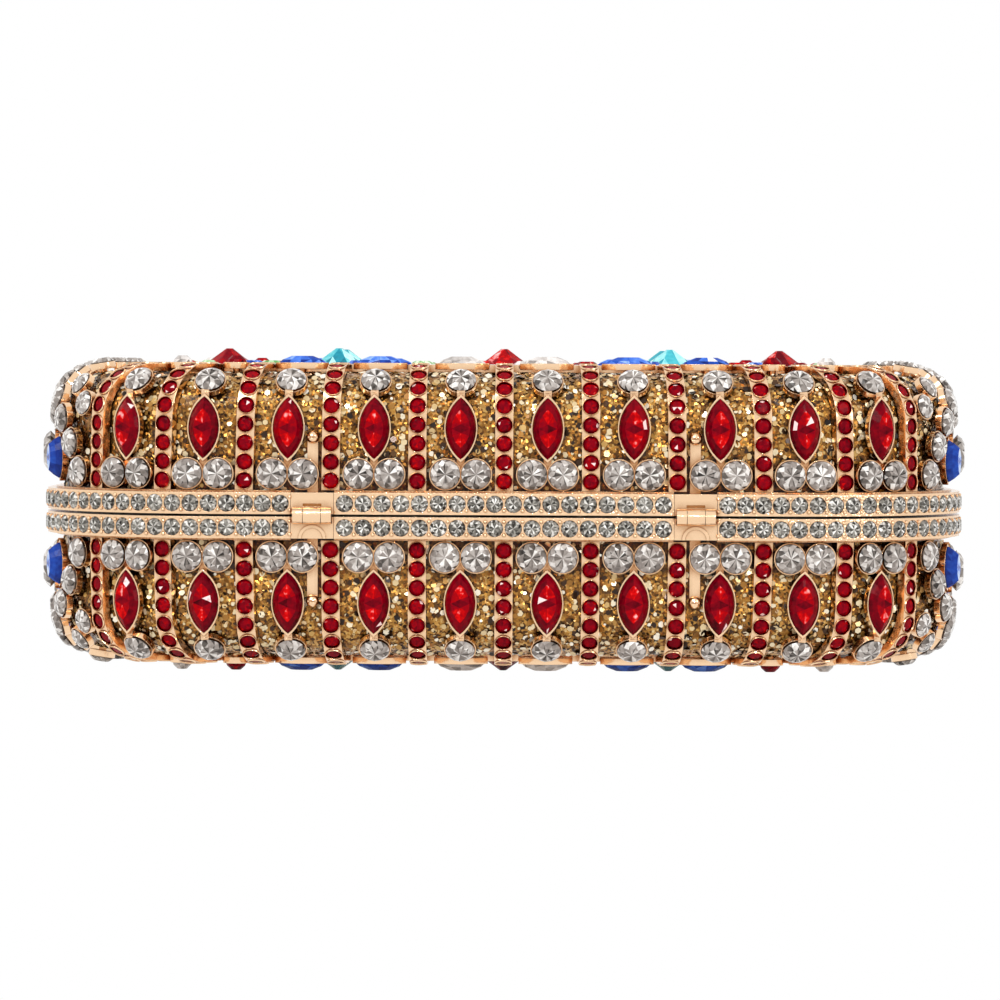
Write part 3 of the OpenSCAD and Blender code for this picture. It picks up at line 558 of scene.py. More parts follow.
    def petal_places(self) -> Iterator[tuple[int, int, Matrix]]:
        """The petals of the face's flowers.

        Yields:
            The kind of its flower, its number in the flower, and its seat.
        """
        reach = self.rivoli_r + self.bezel_t + self.petal_l / 2
        for kind, place in self.flower_places():
            for k in range(self.petals):
                turn = turned((k + 0.5) * 360 / self.petals, "Z")
                yield kind, k, place @ turn @ moved(reach, 0, 0)

    def small_places(self) -> Iterator[tuple[int, Matrix]]:
        """The small stones between the face's flowers.

        Yields:
            Each stone's kind, negative on the left, and its seat.
        """
        for kind, (x, y) in enumerate(self.smalls, start=1):
            for sign, seat in self.face_seats(x, y):
                yield sign * kind, seat

    def border_places(self) -> Iterator[Matrix]:
        """Seats of the border crystals round the face.

        Yields:
            The matrix of each seat.
        """
        skin = self.skin
        r = skin.corner_r - self.border_out - self.border_w / 2
        pitch = 2 * self.border_stone_r + 4 * self.bezel_t
        bend = r * math.pi / 2
        quarter = [moved(l, skin.side_y + r, 0) for l in spread(skin.side_x, pitch)]
        quarter += [moved(skin.side_x + r, l, 0) for l in spread(skin.side_y, pitch)]
        corner = moved(skin.side_x, skin.side_y, 0)
        quarter += [corner @ turned(math.degrees(l / r), "Z") @ moved(r, 0, 0)
                    for l in spread(bend, pitch)]
        for end in self.ends():
            for side in self.sides():
                for place in quarter:
                    yield moved(0, 0, self.panel_seat) @ end @ side @ place


@dataclass
class Cut:
    """A cut stone: its corners in millimetres over its seat, its facets, and each facet's shade.

    A shade is painted light: it runs from 0, a dark facet, to 1, a bright one, standing in for
    what the foiled stone reflects, and past that to a painted glint. Each facet's own shade is
    varied by the cut's chance. A stone that spins is set at a small random turn.
    """

    points: list[Vector] = field(default_factory=list)
    facets: list[tuple[int, ...]] = field(default_factory=list)
    shades: list[float] = field(default_factory=list)
    chance: float = 0.3
    spins: bool = False

    def ring(self, outline: Outline, share: float, z: float) -> list[int]:
        """Adds a ring of corners.

        Args:
            outline: The corners' places before they are drawn in.
            share: How far they are drawn in towards the middle.
            z: Their height.

        Returns:
            The corners' numbers.
        """
        start = len(self.points)
        self.points += [Vector((x * share, y * share, z)) for x, y in outline]
        return list(range(start, start + len(outline)))

    def facet(self, corners: tuple[int, ...], shade: float) -> None:
        """Adds one facet with its shade."""
        self.facets.append(corners)
        self.shades.append(shade)

    def band(self, low: list[int], high: list[int], shade: Callable[[int], float]) -> None:
        """Joins two rings of as many corners with a facet at each side.

        Args:
            low: The corners of the ring that the facets start at.
            high: The corners of the other ring.
            shade: Gives the shade of the facet with a number.
        """
        n = len(low)
        for i in range(n):
            j = (i + 1) % n
            self.facet((low[i], low[j], high[j], high[i]), shade(i))


Seats = list[tuple[Cut, Matrix]]


def alike(cut: Cut, places: Iterable[Matrix]) -> Seats:
    """Seats that all hold stones of the same cut."""
    return [(cut, place) for place in places]


def circle(r: float, n: int, start: float = 0.0) -> Outline:
    """Corners on a circle.

    Args:
        r: Its radius.
        n: The number of corners.
        start: The first corner's angle in degrees.

    Returns:
        The corners, counter-clockwise.
    """
    angles = [math.radians(start + i * 360 / n) for i in range(n)]
    return [(r * math.cos(angle), r * math.sin(angle)) for angle in angles]


def lens(l: float, w: float, n: int) -> Outline:
    """Corners of a pointed oval with its length along x.

    Args:
        l: Its length.
        w: Its width.
        n: Corners on each of its two curved sides.

    Returns:
        The corners, counter-clockwise from the right point.
    """
    a, b = l / 2, w / 2
    r = (a * a + b * b) / (2 * b)
    upper = []
    for i in range(n):
        x = a * math.cos(math.pi * i / n)
        upper.append((x, math.sqrt(r * r - x * x) - r + b))
    return upper + [(-x, -y) for x, y in upper]


def round_cut(r: float, fine: bool) -> Cut:
    """A round stone: a table cut like a star, a crown of kites, a girdle and a foiled back.

    Args:
        r: Its radius.
        fine: Whether it has a clear stone's many facets, which differ much.

    Returns:
        The cut stone.
    """
    cut = Cut(chance=0.34 if fine else 0.16, spins=True)
    n = 11 if fine else 8
    waist_turn = 22.5
    table_share, waist_share, culet_share = 0.60, 0.82, 0.58
    low, top = Plan.PAVILION_SHARE * r, Plan.CROWN_TOP_SHARE * r
    middle = len(cut.points)
    cut.points.append(Vector((0, 0, top)))
    table = cut.ring(circle(r, n), table_share, top)
    waist = cut.ring(circle(r, n, waist_turn), waist_share, low + 0.62 * (top - low))
    girdle = cut.ring(circle(r, 2 * n), 1.0, low)
    culet = cut.ring(circle(r, 2 * n), culet_share, 0.0)
    star = circle(r * math.cos(math.pi / n), n, waist_turn)
    mids = cut.ring(star, table_share, top) if fine else []
    # Facet shades are painted reflections: bright and dark facets for what the stone reflects.
    for i in range(n):
        j, h = (i + 1) % n, (i - 1) % n
        left, mid, right = girdle[2 * i], girdle[2 * i + 1], girdle[(2 * i + 2) % (2 * n)]
        if fine:
            cut.facet((middle, table[i], mids[i]), shade=0.75 if i % 2 else 0.4)
            cut.facet((middle, mids[i], table[j]), shade=0.25 if i % 3 else 0.9)
            cut.facet((table[i], waist[i], mids[i]), shade=0.7)
            cut.facet((mids[i], waist[i], table[j]), shade=0.3)
        else:
            cut.facet((middle, table[i], table[j]), shade=0.62 if i % 2 else 0.5)
            cut.facet((table[i], waist[i], table[j]), shade=0.5)
        cut.facet((table[i], waist[h], left, waist[i]), shade=0.75 if i % 2 else 0.45)
        cut.facet((waist[i], left, mid), shade=0.3)
        cut.facet((waist[i], mid, right), shade=0.7 if fine else 0.4)
    cut.band(culet, girdle, shade=lambda i: 0.5)
    cut.facet(tuple(reversed(culet)), shade=0.2)
    return cut


def oval_cut(l: float, w: float, rise: float, n: int, lively: bool = True) -> Cut:
    """A navette: a long table split by a short keel line, and two rows of crown facets.

    Args:
        l: Its length, along x.
        w: Its width.
        rise: Height of its table over its seat.
        n: Corners on each curved side.
        lively: Whether its facets' painted shades differ much and are lighter, under a smaller
            table.

    Returns:
        The cut stone.
    """
    cut = Cut(chance=0.3 if lively else 0.08)
    edge = lens(l, w, n)
    low = rise * 0.3
    foot_share, waist_share, table_share = 0.86, 0.84, 0.45 if lively else 0.62
    keel_x = l * 0.07
    # Painted light: the first curved side is painted lighter, as if lit from there, and a lively
    # stone's facets are all painted lighter.
    painted_light_side, lift = 0.12, 0.2 if lively else 0.0
    girdle = cut.ring(edge, 1.0, low)
    foot = cut.ring(edge, foot_share, 0.0)
    waist = cut.ring(edge, waist_share, low + 0.5 * (rise - low))
    table = cut.ring(edge, table_share, rise)
    keel = cut.ring([(keel_x, 0.0), (-keel_x, 0.0)], 1.0, rise)
    count = 2 * n
    for i in range(count):
        j = (i + 1) % count
        side = (painted_light_side if i < n else 0.0) + lift
        far = (edge[i][0] + edge[j][0]) / l
        near_keel = keel[0 if far > 0 else 1]
        # Facet shades are painted reflections: table facets lighter towards the tips, darker at the
        # keel.
        cut.facet((girdle[i], girdle[j], waist[j]), shade=0.3 + side)
        cut.facet((girdle[i], waist[j], waist[i]), shade=0.35 + side)
        cut.facet((waist[i], waist[j], table[j], table[i]), shade=0.4 + side)
        cut.facet((near_keel, table[i], table[j]), shade=0.5 + 0.45 * abs(far) + side)
    cut.facet((keel[0], table[n // 2], keel[1]), shade=0.3)
    cut.facet((keel[1], table[n + n // 2], keel[0]), shade=0.42)
    cut.band(foot, girdle, shade=lambda i: 0.9 if lively and i % 2 else 0.45)
    cut.facet(tuple(reversed(foot)), shade=0.2)
    return cut


def pointed_cut(r: float, rise: float) -> Cut:
    """A round stone cut to a point, with a small flat on top.

    Args:
        r: Its radius.
        rise: Height of its tip over its seat.

    Returns:
        The cut stone.
    """
    cut = Cut()
    n = 8
    waist_share, tip_share = 0.55, 0.12
    low = 0.12 * r
    foot = cut.ring(circle(r, 2 * n), 1.0, 0.0)
    girdle = cut.ring(circle(r, 2 * n), 1.0, low)
    waist = cut.ring(circle(r, n, 180 / n), waist_share, low + 0.52 * (rise - low))
    tip = cut.ring(circle(r, n), tip_share, rise)
    # Facet shades are painted reflections, with a bright painted flat on the tip.
    for i in range(n):
        left, mid, right = girdle[2 * i], girdle[2 * i + 1], girdle[(2 * i + 2) % (2 * n)]
        cut.facet((waist[i], left, mid), shade=0.4)
        cut.facet((waist[i], mid, right), shade=0.65)
        cut.facet((waist[i - 1], left, waist[i], tip[i]), shade=0.8 if i % 2 else 0.5)
        cut.facet((tip[i], waist[i], tip[(i + 1) % n]), shade=0.55)
    cut.facet(tuple(tip), shade=0.9)
    cut.band(foot, girdle, shade=lambda i: 0.3)
    cut.facet(tuple(reversed(foot)), shade=0.2)
    return cut


METAL_SHADE = 0.5


def claw_ring(inner: float, outer: float, rise: float) -> Cut:
    """A low ring of metal pressed over a stone's edge.

    Args:
        inner: Its inner radius.
        outer: Its outer radius.
        rise: Height of its crest.

    Returns:
        The ring, in one even shade.
    """
    ring = Cut(chance=0.0)
    n = 20
    low = ring.ring(circle(inner, n), 1.0, 0.0)
    crest = ring.ring(circle((inner + outer) / 2, n), 1.0, rise)
    foot = ring.ring(circle(outer, n), 1.0, 0.0)
    for start, end in ((crest, low), (foot, crest), (low, foot)):
        ring.band(start, end, shade=lambda i: METAL_SHADE)
    return ring


def small_bead(r: float) -> Cut:
    """A bead of metal raised between two stones.

    Args:
        r: Its radius.

    Returns:
        The bead, in one even shade.
    """
    bead = Cut(chance=0.0)
    n = 8
    steep = math.radians(28)
    rings = [bead.ring(circle(r, n, 180 / n * k), math.cos(steep * k), r * math.sin(steep * k))
             for k in range(4)]
    for low, high in zip(rings, rings[1:]):
        bead.band(low, high, shade=lambda i: METAL_SHADE)
    bead.facet(tuple(rings[-1]), shade=METAL_SHADE)
    bead.facet(tuple(reversed(rings[0])), shade=METAL_SHADE)
    return bead


class NodeTree:
    """A short way to write a material's nodes."""

    def __init__(self, tree: bpy.types.NodeTree) -> None:
        """Empties a tree and keeps it."""
        self.tree = tree
        tree.nodes.clear()

    def fill(self, socket: bpy.types.NodeSocket, value: object) -> None:
        """Links something to an input, or sets the input's own value.

        Args:
            socket: The input.
            value: A socket to link, or a value.
        """
        if isinstance(value, bpy.types.NodeSocket):
            self.tree.links.new(value, socket)
        else:
            socket.default_value = value

    def add(self, kind: str, **values: object) -> bpy.types.Node:
        """Adds a node, sets its properties by name and its inputs by name or number.

        Args:
            kind: The node's type.
            values: Properties, or inputs as in_NAME with spaces as underscores.

        Returns:
            The node.
        """
        node = self.tree.nodes.new(kind)
        for name, value in values.items():
            if name.startswith("in_"):
                key = name.removeprefix("in_")
                self.fill(node.inputs[int(key) if key.isdigit() else key.replace("_", " ")], value)
            else:
                setattr(node, name, value)
        return node

    def math(self, operation: str, *values: object) -> bpy.types.NodeSocket:
        """Adds a step of arithmetic.

        Args:
            operation: What it does.
            values: One or two numbers or sockets.

        Returns:
            Its result.
        """
        node = self.add("ShaderNodeMath", operation=operation)
        for socket, value in zip(node.inputs, values):
            self.fill(socket, value)
        return node.outputs[0]

    def line(self, value: bpy.types.NodeSocket, gain: float, start: float) -> bpy.types.NodeSocket:
        """A value times a gain, plus a start."""
        return self.math("ADD", self.math("MULTIPLY", value, gain), start)

    def vector(self, operation: str, **values: object) -> bpy.types.NodeSocket:
        """Adds a step of vector arithmetic and returns its result."""
        return self.add("ShaderNodeVectorMath", operation=operation, **values).outputs[0]

    def ramp(self, factor: bpy.types.NodeSocket, stops: Stops) -> bpy.types.NodeSocket:
        """Adds a colour ramp.

        Args:
            factor: What it runs over.
            stops: Each colour and its place, from 0 to 1.

        Returns:
            The ramp's colour.
        """
        node = self.add("ShaderNodeValToRGB", in_Fac=factor)
        points = node.color_ramp.elements
        while len(points) < len(stops):
            points.new(0.5)
        for point, (at, colour) in zip(points, stops):
            point.position = at
            point.color = (*colour, 1.0)
        return node.outputs["Color"]

    def where(self) -> bpy.types.NodeSocket:
        """The place in the object."""
        return self.add("ShaderNodeTexCoord").outputs["Object"]

    def shade(self) -> bpy.types.NodeSocket:
        """The shade of the facet."""
        return self.add("ShaderNodeAttribute", attribute_name="shade").outputs["Fac"]

    def noise(self, where: bpy.types.NodeSocket, scale: float,
              detail: float) -> bpy.types.NodeSocket:
        """Adds noise.

        Args:
            where: The place that it varies with.
            scale: Its waves to a metre.
            detail: Its layers of finer noise.

        Returns:
            Its strength.
        """
        node = self.add("ShaderNodeTexNoise", in_Vector=where, in_Scale=scale, in_Detail=detail)
        return node.outputs["Fac"]

    def cells(self, where: bpy.types.NodeSocket, size: float) -> bpy.types.Node:
        """Adds cells of a size in millimetres."""
        return self.add("ShaderNodeTexVoronoi", in_Vector=where, in_Scale=1 / (size * MM))

    def open_share(self, reach: float) -> bpy.types.NodeSocket:
        """1 in the open, less in hollows that are narrower than a reach in millimetres."""
        node = self.add("ShaderNodeAmbientOcclusion", samples=4, in_Distance=reach * MM)
        return node.outputs["AO"]


def new_object(name: str, data: bpy.types.ID) -> bpy.types.Object:
    """Makes an object and links it to the scene.

    Args:
        name: Its name.
        data: Its mesh, lamp or camera.

    Returns:
        The object.
    """
    thing = bpy.data.objects.new(name, data)
    bpy.context.scene.collection.objects.link(thing)
    return thing


@dataclass(frozen=True)
class Finish:
    """A finish, and for what isn't packed the record's slot that it belongs to."""

    name: str
    slot: str = field(default="", kw_only=True)

    def material(self) -> bpy.types.Material:
        """Makes the material.

        Returns:
            The material, with the finish's nodes.
        """
        material = bpy.data.materials.new(self.name)
        material.use_nodes = True
        tree = NodeTree(material.node_tree)
        tree.add("ShaderNodeOutputMaterial", in_Surface=self.shader(tree).outputs[0])
        return material

    def shader(self, tree: NodeTree) -> bpy.types.Node:
        """Adds the finish's nodes.

        Args:
            tree: The material's nodes.

        Returns:
            The shader.
        """
        raise NotImplementedError


@dataclass(frozen=True)
class CutGlass(Finish):
    """Foiled cut glass: each facet takes a colour from its shade, a painted reflection."""

    stops: Stops
    # glint is the colour of a painted glint, past the glass's brightest stop.
    glint: Colour = (1.0, 0.97, 0.92)
    roughness: float = 0.08
    shine: float = 0.15
    flow: float = 0.3
    painted_edge_light: float = 0.25

    TOP = 1.25
    FLOW_SCALE = 900.0
    PAINTED_EDGE_FALL = 3.0

    def shader(self, tree: NodeTree) -> bpy.types.Node:
        """Adds the glass: painted shades flowing a little in a facet, painted light at steep edges.

        Args:
            tree: The material's nodes.

        Returns:
            The shader.
        """
        cloud = tree.noise(tree.where(), self.FLOW_SCALE, 1.0)
        flow = tree.math("MULTIPLY", tree.math("SUBTRACT", cloud, 0.5), self.flow)
        # Painted light: facets seen edge-on are lightened.
        facing = tree.add("ShaderNodeLayerWeight", in_Blend=0.5).outputs["Facing"]
        light = tree.math("MULTIPLY", tree.math("POWER", facing, self.PAINTED_EDGE_FALL), self.painted_edge_light)
        mixed = tree.math("ADD", tree.math("ADD", tree.shade(), flow), light)
        stops = tuple((at / self.TOP, colour) for at, colour in self.stops)
        colour = tree.ramp(tree.math("DIVIDE", mixed, self.TOP), (*stops, (1.0, self.glint)))
        return tree.add("ShaderNodeBsdfPrincipled", in_Base_Color=colour,
                        in_Roughness=self.roughness, in_Specular_IOR_Level=self.shine)


@dataclass(frozen=True)
class CastGold(Finish):
    """Rose-gold plate over cast metal, with the cast's grain and painted shade darkening its
    hollows.

    Where beads isn't 0, it is the size in millimetres of the beading on upright faces.
    """

    light: Colour = (0.94, 0.65, 0.41)
    # deep is painted shade in hollows, and also the dark end of the random clouds.
    deep: Colour = (0.38, 0.14, 0.035)
    roughness: float = 0.13
    grain: float = 0.15
    beads: float = 0.0

    GRAIN_SCALE = 1500.0
    WAVE_SCALE = 380.0
    CLOUD_SCALE = 260.0
    PAINTED_SHADE_REACH = 1.8
    EDGE_R = 0.12
    ROUGHNESS_SPAN = 0.18
    STEEPEST_BEAD = 0.7

    def shader(self, tree: NodeTree) -> bpy.types.Node:
        """Adds the metal: painted shade in hollows, soft edges, and the cast's waves and grain.

        Args:
            tree: The material's nodes.

        Returns:
            The shader.
        """
        where = tree.where()
        grain = tree.noise(where, self.GRAIN_SCALE, 3.0)
        cloud = tree.line(tree.noise(where, self.CLOUD_SCALE, 2.0), 0.5, 0.72)
        # Painted shade: the colour darkens where the surface is hollow.
        mixed = tree.math("MULTIPLY", tree.open_share(self.PAINTED_SHADE_REACH), cloud)
        colour = tree.ramp(mixed, ((0.35, self.deep), (0.9, self.light)))
        edges = tree.add("ShaderNodeBevel", samples=4, in_Radius=self.EDGE_R * MM).outputs[0]
        cast = tree.noise(where, self.WAVE_SCALE, 1.0)
        waves = tree.add("ShaderNodeBump", in_Height=cast, in_Strength=0.3,
                         in_Distance=0.4 * MM, in_Normal=edges).outputs[0]
        normal = tree.add("ShaderNodeBump", in_Height=grain, in_Strength=self.grain,
                          in_Distance=0.06 * MM, in_Normal=waves).outputs[0]
        if self.beads:
            normal = self.beaded(tree, where, normal)
        half_span = self.ROUGHNESS_SPAN / 2
        rough = tree.line(grain, self.ROUGHNESS_SPAN, self.roughness - half_span)
        return tree.add("ShaderNodeBsdfPrincipled", in_Base_Color=colour, in_Roughness=rough,
                        in_Metallic=1.0, in_Normal=normal)

    def beaded(self, tree: NodeTree, where: bpy.types.NodeSocket,
               normal: bpy.types.NodeSocket) -> bpy.types.NodeSocket:
        """Adds the beading of faces that stand upright.

        Args:
            tree: The material's nodes.
            where: The place in the object.
            normal: The normal that the beads are added to.

        Returns:
            The normal with the beads.
        """
        cells = tree.cells(where, self.beads)
        own = tree.add("ShaderNodeTexCoord").outputs["Normal"]
        level = tree.add("ShaderNodeSeparateXYZ", in_Vector=own).outputs["Z"]
        upright = tree.math("LESS_THAN", tree.math("ABSOLUTE", level), self.STEEPEST_BEAD)
        return tree.add("ShaderNodeBump", invert=True, in_Height=cells.outputs["Distance"],
                        in_Strength=tree.math("MULTIPLY", upright, 0.8),
                        in_Distance=0.25 * self.beads * MM, in_Normal=normal).outputs[0]


@dataclass(frozen=True)
class Glitter(Finish):
    """Gold glitter: flat flakes lying every way, in amber, gold and brown."""

    flake: float = 0.5
    tilt: float = 0.8
    stops: Stops = ((0.0, (0.03, 0.011, 0.002)), (0.25, (0.25, 0.10, 0.014)),
                    (0.5, (0.50, 0.25, 0.045)), (0.75, (0.72, 0.44, 0.13)),
                    (0.92, (0.95, 0.80, 0.48)))

    PAINTED_SHADE_REACH = 3.5
    PAINTED_SHADE_POWER = 1.3

    def shader(self, tree: NodeTree) -> bpy.types.Node:
        """Adds the glitter: each cell's own colour and lean, with painted shade in hollows.

        Args:
            tree: The material's nodes.

        Returns:
            The shader.
        """
        chance = tree.cells(tree.where(), self.flake).outputs["Color"]
        normal = tree.add("ShaderNodeNewGeometry").outputs["Normal"]
        lean = tree.vector("SUBTRACT", in_0=chance, in_1=(0.5, 0.5, 0.5))
        lean = tree.vector("SCALE", in_0=lean, in_Scale=self.tilt)
        leant = tree.vector("NORMALIZE", in_0=tree.vector("ADD", in_0=normal, in_1=lean))
        split = tree.add("ShaderNodeSeparateColor", in_Color=chance)
        # Painted shade: flakes in hollows are darkened.
        depth = tree.math("POWER", tree.open_share(self.PAINTED_SHADE_REACH), self.PAINTED_SHADE_POWER)
        colour = tree.ramp(tree.math("MULTIPLY", split.outputs[1], depth), self.stops)
        return tree.add("ShaderNodeBsdfPrincipled", in_Base_Color=colour, in_Roughness=0.22,
                        in_Metallic=0.9, in_Normal=leant, in_Coat_Weight=0.25)


@dataclass(frozen=True)
class Foil(Finish):
    """Loose glitter flakes that take their colour from their shade."""

    stops: Stops

    def shader(self, tree: NodeTree) -> bpy.types.Node:
        """Adds the foil.

        Args:
            tree: The material's nodes.

        Returns:
            The shader.
        """
        colour = tree.ramp(tree.shade(), self.stops)
        return tree.add("ShaderNodeBsdfPrincipled", in_Base_Color=colour, in_Roughness=0.2,
                        in_Metallic=0.45)


@dataclass(frozen=True)
class Satin(Finish):
    """Woven satin with a soft sheen."""

    colour: Colour = (0.66, 0.50, 0.28)

    THREAD_SCALE = 900.0
    CLOUD_SCALE = 60.0

    def shader(self, tree: NodeTree) -> bpy.types.Node:
        """Adds the satin: threads under soft clouds.

        Args:
            tree: The material's nodes.

        Returns:
            The shader.
        """
        where = tree.where()
        wave = tree.add("ShaderNodeTexWave", in_Vector=where, in_Scale=self.THREAD_SCALE,
                        in_Distortion=1.5).outputs["Fac"]
        mixed = tree.math("MULTIPLY", wave, tree.noise(where, self.CLOUD_SCALE, 2.0))
        dark = tuple(0.75 * c for c in self.colour)
        colour = tree.ramp(mixed, ((0.1, dark), (0.6, self.colour)))
        bump = tree.add("ShaderNodeBump", in_Height=wave, in_Strength=0.3, in_Distance=0.05 * MM)
        return tree.add("ShaderNodeBsdfPrincipled", in_Base_Color=colour, in_Roughness=0.42,
                        in_Normal=bump.outputs[0], in_Sheen_Weight=0.6)


@dataclass(frozen=True)
class Steel(Finish):
    """Bright steel with fine drawn lines."""

    colour: Colour = (0.62, 0.62, 0.64)

    LINE_SCALE = 1800.0

    def shader(self, tree: NodeTree) -> bpy.types.Node:
        """Adds the steel.

        Args:
            tree: The material's nodes.

        Returns:
            The shader.
        """
        lines = tree.noise(tree.where(), self.LINE_SCALE, 2.0)
        dark = tuple(0.8 * c for c in self.colour)
        colour = tree.ramp(lines, ((0.3, dark), (0.7, self.colour)))
        return tree.add("ShaderNodeBsdfPrincipled", in_Base_Color=colour, in_Roughness=0.28,
                        in_Metallic=1.0)


# Each glass's stops are painted reflections: a colour for each facet shade, from dark to bright.
CLEAR = CutGlass("clear_crystal",
                 ((0.0, (0.025, 0.02, 0.017)), (0.25, (0.14, 0.12, 0.105)),
                  (0.5, (0.28, 0.245, 0.22)), (0.75, (0.47, 0.43, 0.395)),
                  (1.0, (0.84, 0.81, 0.77))),
                 shine=0.25, flow=0.5, painted_edge_light=0.6, slot="clear_crystal")
# A darker copy of the clear crystal for the rim: painted shade.
SHADED_RIM_CLEAR = CutGlass("rim_crystal",
                     ((0.0, (0.008, 0.006, 0.005)), (0.25, (0.05, 0.045, 0.038)),
                      (0.5, (0.16, 0.15, 0.13)), (0.75, (0.34, 0.32, 0.28)),
                      (1.0, (0.80, 0.78, 0.73))),
                     shine=0.2, slot="clear_crystal")
# A lighter copy of the clear crystal for the face: painted light.
LIT_FACE_CLEAR = CutGlass("face_crystal",
                      ((0.0, (0.06, 0.05, 0.045)), (0.25, (0.26, 0.23, 0.21)),
                       (0.5, (0.52, 0.48, 0.45)), (0.75, (0.76, 0.72, 0.69)),
                       (1.0, (0.95, 0.92, 0.90))),
                      shine=0.25, flow=0.5, painted_edge_light=0.6, slot="clear_crystal")
RUBY = CutGlass("ruby_glass",
                ((0.0, (0.02, 0.0, 0.001)), (0.3, (0.12, 0.0, 0.005)),
                 (0.6, (0.23, 0.0, 0.006)), (0.85, (0.37, 0.0, 0.002)),
                 (1.0, (0.68, 0.003, 0.003))),
                glint=(1.0, 0.72, 0.70), shine=0.05, flow=0.7, slot="ruby_glass")
SAPPHIRE = CutGlass("sapphire_glass",
                    ((0.0, (0.002, 0.005, 0.04)), (0.35, (0.008, 0.03, 0.25)),
                     (0.6, (0.02, 0.09, 0.50)), (0.8, (0.08, 0.22, 0.78)),
                     (1.0, (0.35, 0.55, 0.95))),
                    slot="sapphire_glass")
AQUA = CutGlass("aqua_glass",
                ((0.0, (0.0, 0.05, 0.09)), (0.4, (0.01, 0.28, 0.38)),
                 (0.75, (0.08, 0.55, 0.62)), (1.0, (0.45, 0.90, 0.88))),
                slot="aqua_glass")
PERIDOT = CutGlass("peridot_glass",
                   ((0.0, (0.03, 0.09, 0.02)), (0.4, (0.16, 0.38, 0.12)),
                    (0.75, (0.42, 0.66, 0.34)), (1.0, (0.80, 0.95, 0.70))),
                   slot="aqua_glass")
GOLD = CastGold("rose_gold", slot="rose_gold")
FLAKES = Foil("glitter_flakes",
              ((0.0, (0.008, 0.004, 0.003)), (0.22, (0.05, 0.02, 0.006)),
               (0.32, (0.36, 0.16, 0.025)), (0.46, (0.56, 0.34, 0.10)),
               (0.56, (0.70, 0.53, 0.28)), (0.85, (0.86, 0.74, 0.50)),
               (1.0, (1.0, 0.96, 0.84))),
              slot="gold_glitter")


@dataclass
class Facets:
    """Flat faces of one piece, in metres, with a shade for each."""

    points: list[Vector] = field(default_factory=list)
    faces: list[tuple[int, ...]] = field(default_factory=list)
    shades: list[float] = field(default_factory=list)

    def add(self, place: Matrix, points: list[Vector], faces: list[tuple[int, ...]],
            shades: list[float]) -> None:
        """Adds some faces.

        Args:
            place: Moves them there; where it mirrors them, they are turned right side out.
            points: Their corners.
            faces: The numbers of each face's corners.
            shades: Each face's shade.
        """
        start = len(self.points)
        step = -1 if place.determinant() < 0 else 1
        self.points += [place @ p for p in points]
        self.faces += [tuple(start + i for i in face)[::step] for face in faces]
        self.shades += shades


class Workshop:
    """Makes each material once, and turns lists of cut stones into pieces on a body.

    SPIN is the largest turn of a round stone in its seat, in degrees. STONE_CHANCE is how much
    lighter or darker a whole stone may be, and PAINTED_GLINTS is the share of facets with a painted
    glint.
    """

    SEED = 7
    SPIN = 6
    STONE_CHANCE = 0.08
    PAINTED_GLINTS = 0.012
    PAINTED_GLINT_SHADE = 1.3
    TOP_SHADE = 0.98

    def __init__(self) -> None:
        """Starts with no material made and a fixed random order."""
        self.made: dict[str, bpy.types.Material] = {}
        self.random = random.Random(self.SEED)

    def material(self, finish: Finish) -> bpy.types.Material:
        """The material of a finish, made the first time it is asked for.

        Args:
            finish: The finish.

        Returns:
            The material.
        """
        if finish.name not in self.made:
            self.made[finish.name] = finish.material()
        return self.made[finish.name]

    def set_stones(self, name: str, half: Half, seats: Seats, finish: Finish,
                   node: str = "") -> None:
        """Sets cut stones in their seats as one piece.

        Args:
            name: The piece's name.
            half: The half shell it is set in.
            seats: Each stone's cut and its place, drawn up from the parting plane.
            finish: What it is made of.
            node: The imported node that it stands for, if any.
        """
        facets = Facets()
        place_half = Plan().skin.half(half)
        scale = Matrix.Scale(MM, 4)
        for cut, seat in seats:
            spin = self.random.uniform(-self.SPIN, self.SPIN)
            place = scale @ place_half @ seat
            if cut.spins:
                place = place @ turned(spin, "Z")
            light = self.random.uniform(-self.STONE_CHANCE, self.STONE_CHANCE)
            shades = [self.facet_shade(shade + light, cut.chance) for shade in cut.shades]
            facets.add(place, cut.points, cut.facets, shades)
        piece = self.piece(name, half, facets, finish)
        if node:
            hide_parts(node)
        log.info("%s: %d stones", name, len(seats))

    def facet_shade(self, shade: float, chance: float) -> float:
        """A facet's painted shade, varied by chance, or now and then a painted glint.

        Args:
            shade: Its own shade.
            chance: How far it may be from that.

        Returns:
            The shade.
        """
        glint = self.random.random() < self.PAINTED_GLINTS
        vary = self.random.uniform(-chance, chance)
        return self.PAINTED_GLINT_SHADE if glint else min(self.TOP_SHADE, max(0.0, shade + vary))

    def piece(self, name: str, half: Half, facets: Facets, finish: Finish) -> bpy.types.Object:
        """Makes a flat-faced piece with a shade on each face.

        Args:
            name: The piece's name.
            half: The half shell that it rides with.
            facets: Its faces.
            finish: What it is made of.

        Returns:
            The piece.
        """
        mesh = bpy.data.meshes.new(name)
        mesh.from_pydata([tuple(p) for p in facets.points], [], facets.faces)
        shades = mesh.attributes.new("shade", "FLOAT", "FACE").data
        shades.foreach_set("value", facets.shades)
        mesh.materials.append(self.material(finish))
        piece = new_object(name, mesh)
        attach(piece, half.body)
        return piece


@dataclass(frozen=True)
class Group:
    """Stones of some kinds that share a glass: the piece's name, its glass and the kinds."""

    name: str
    finish: CutGlass
    kinds: tuple


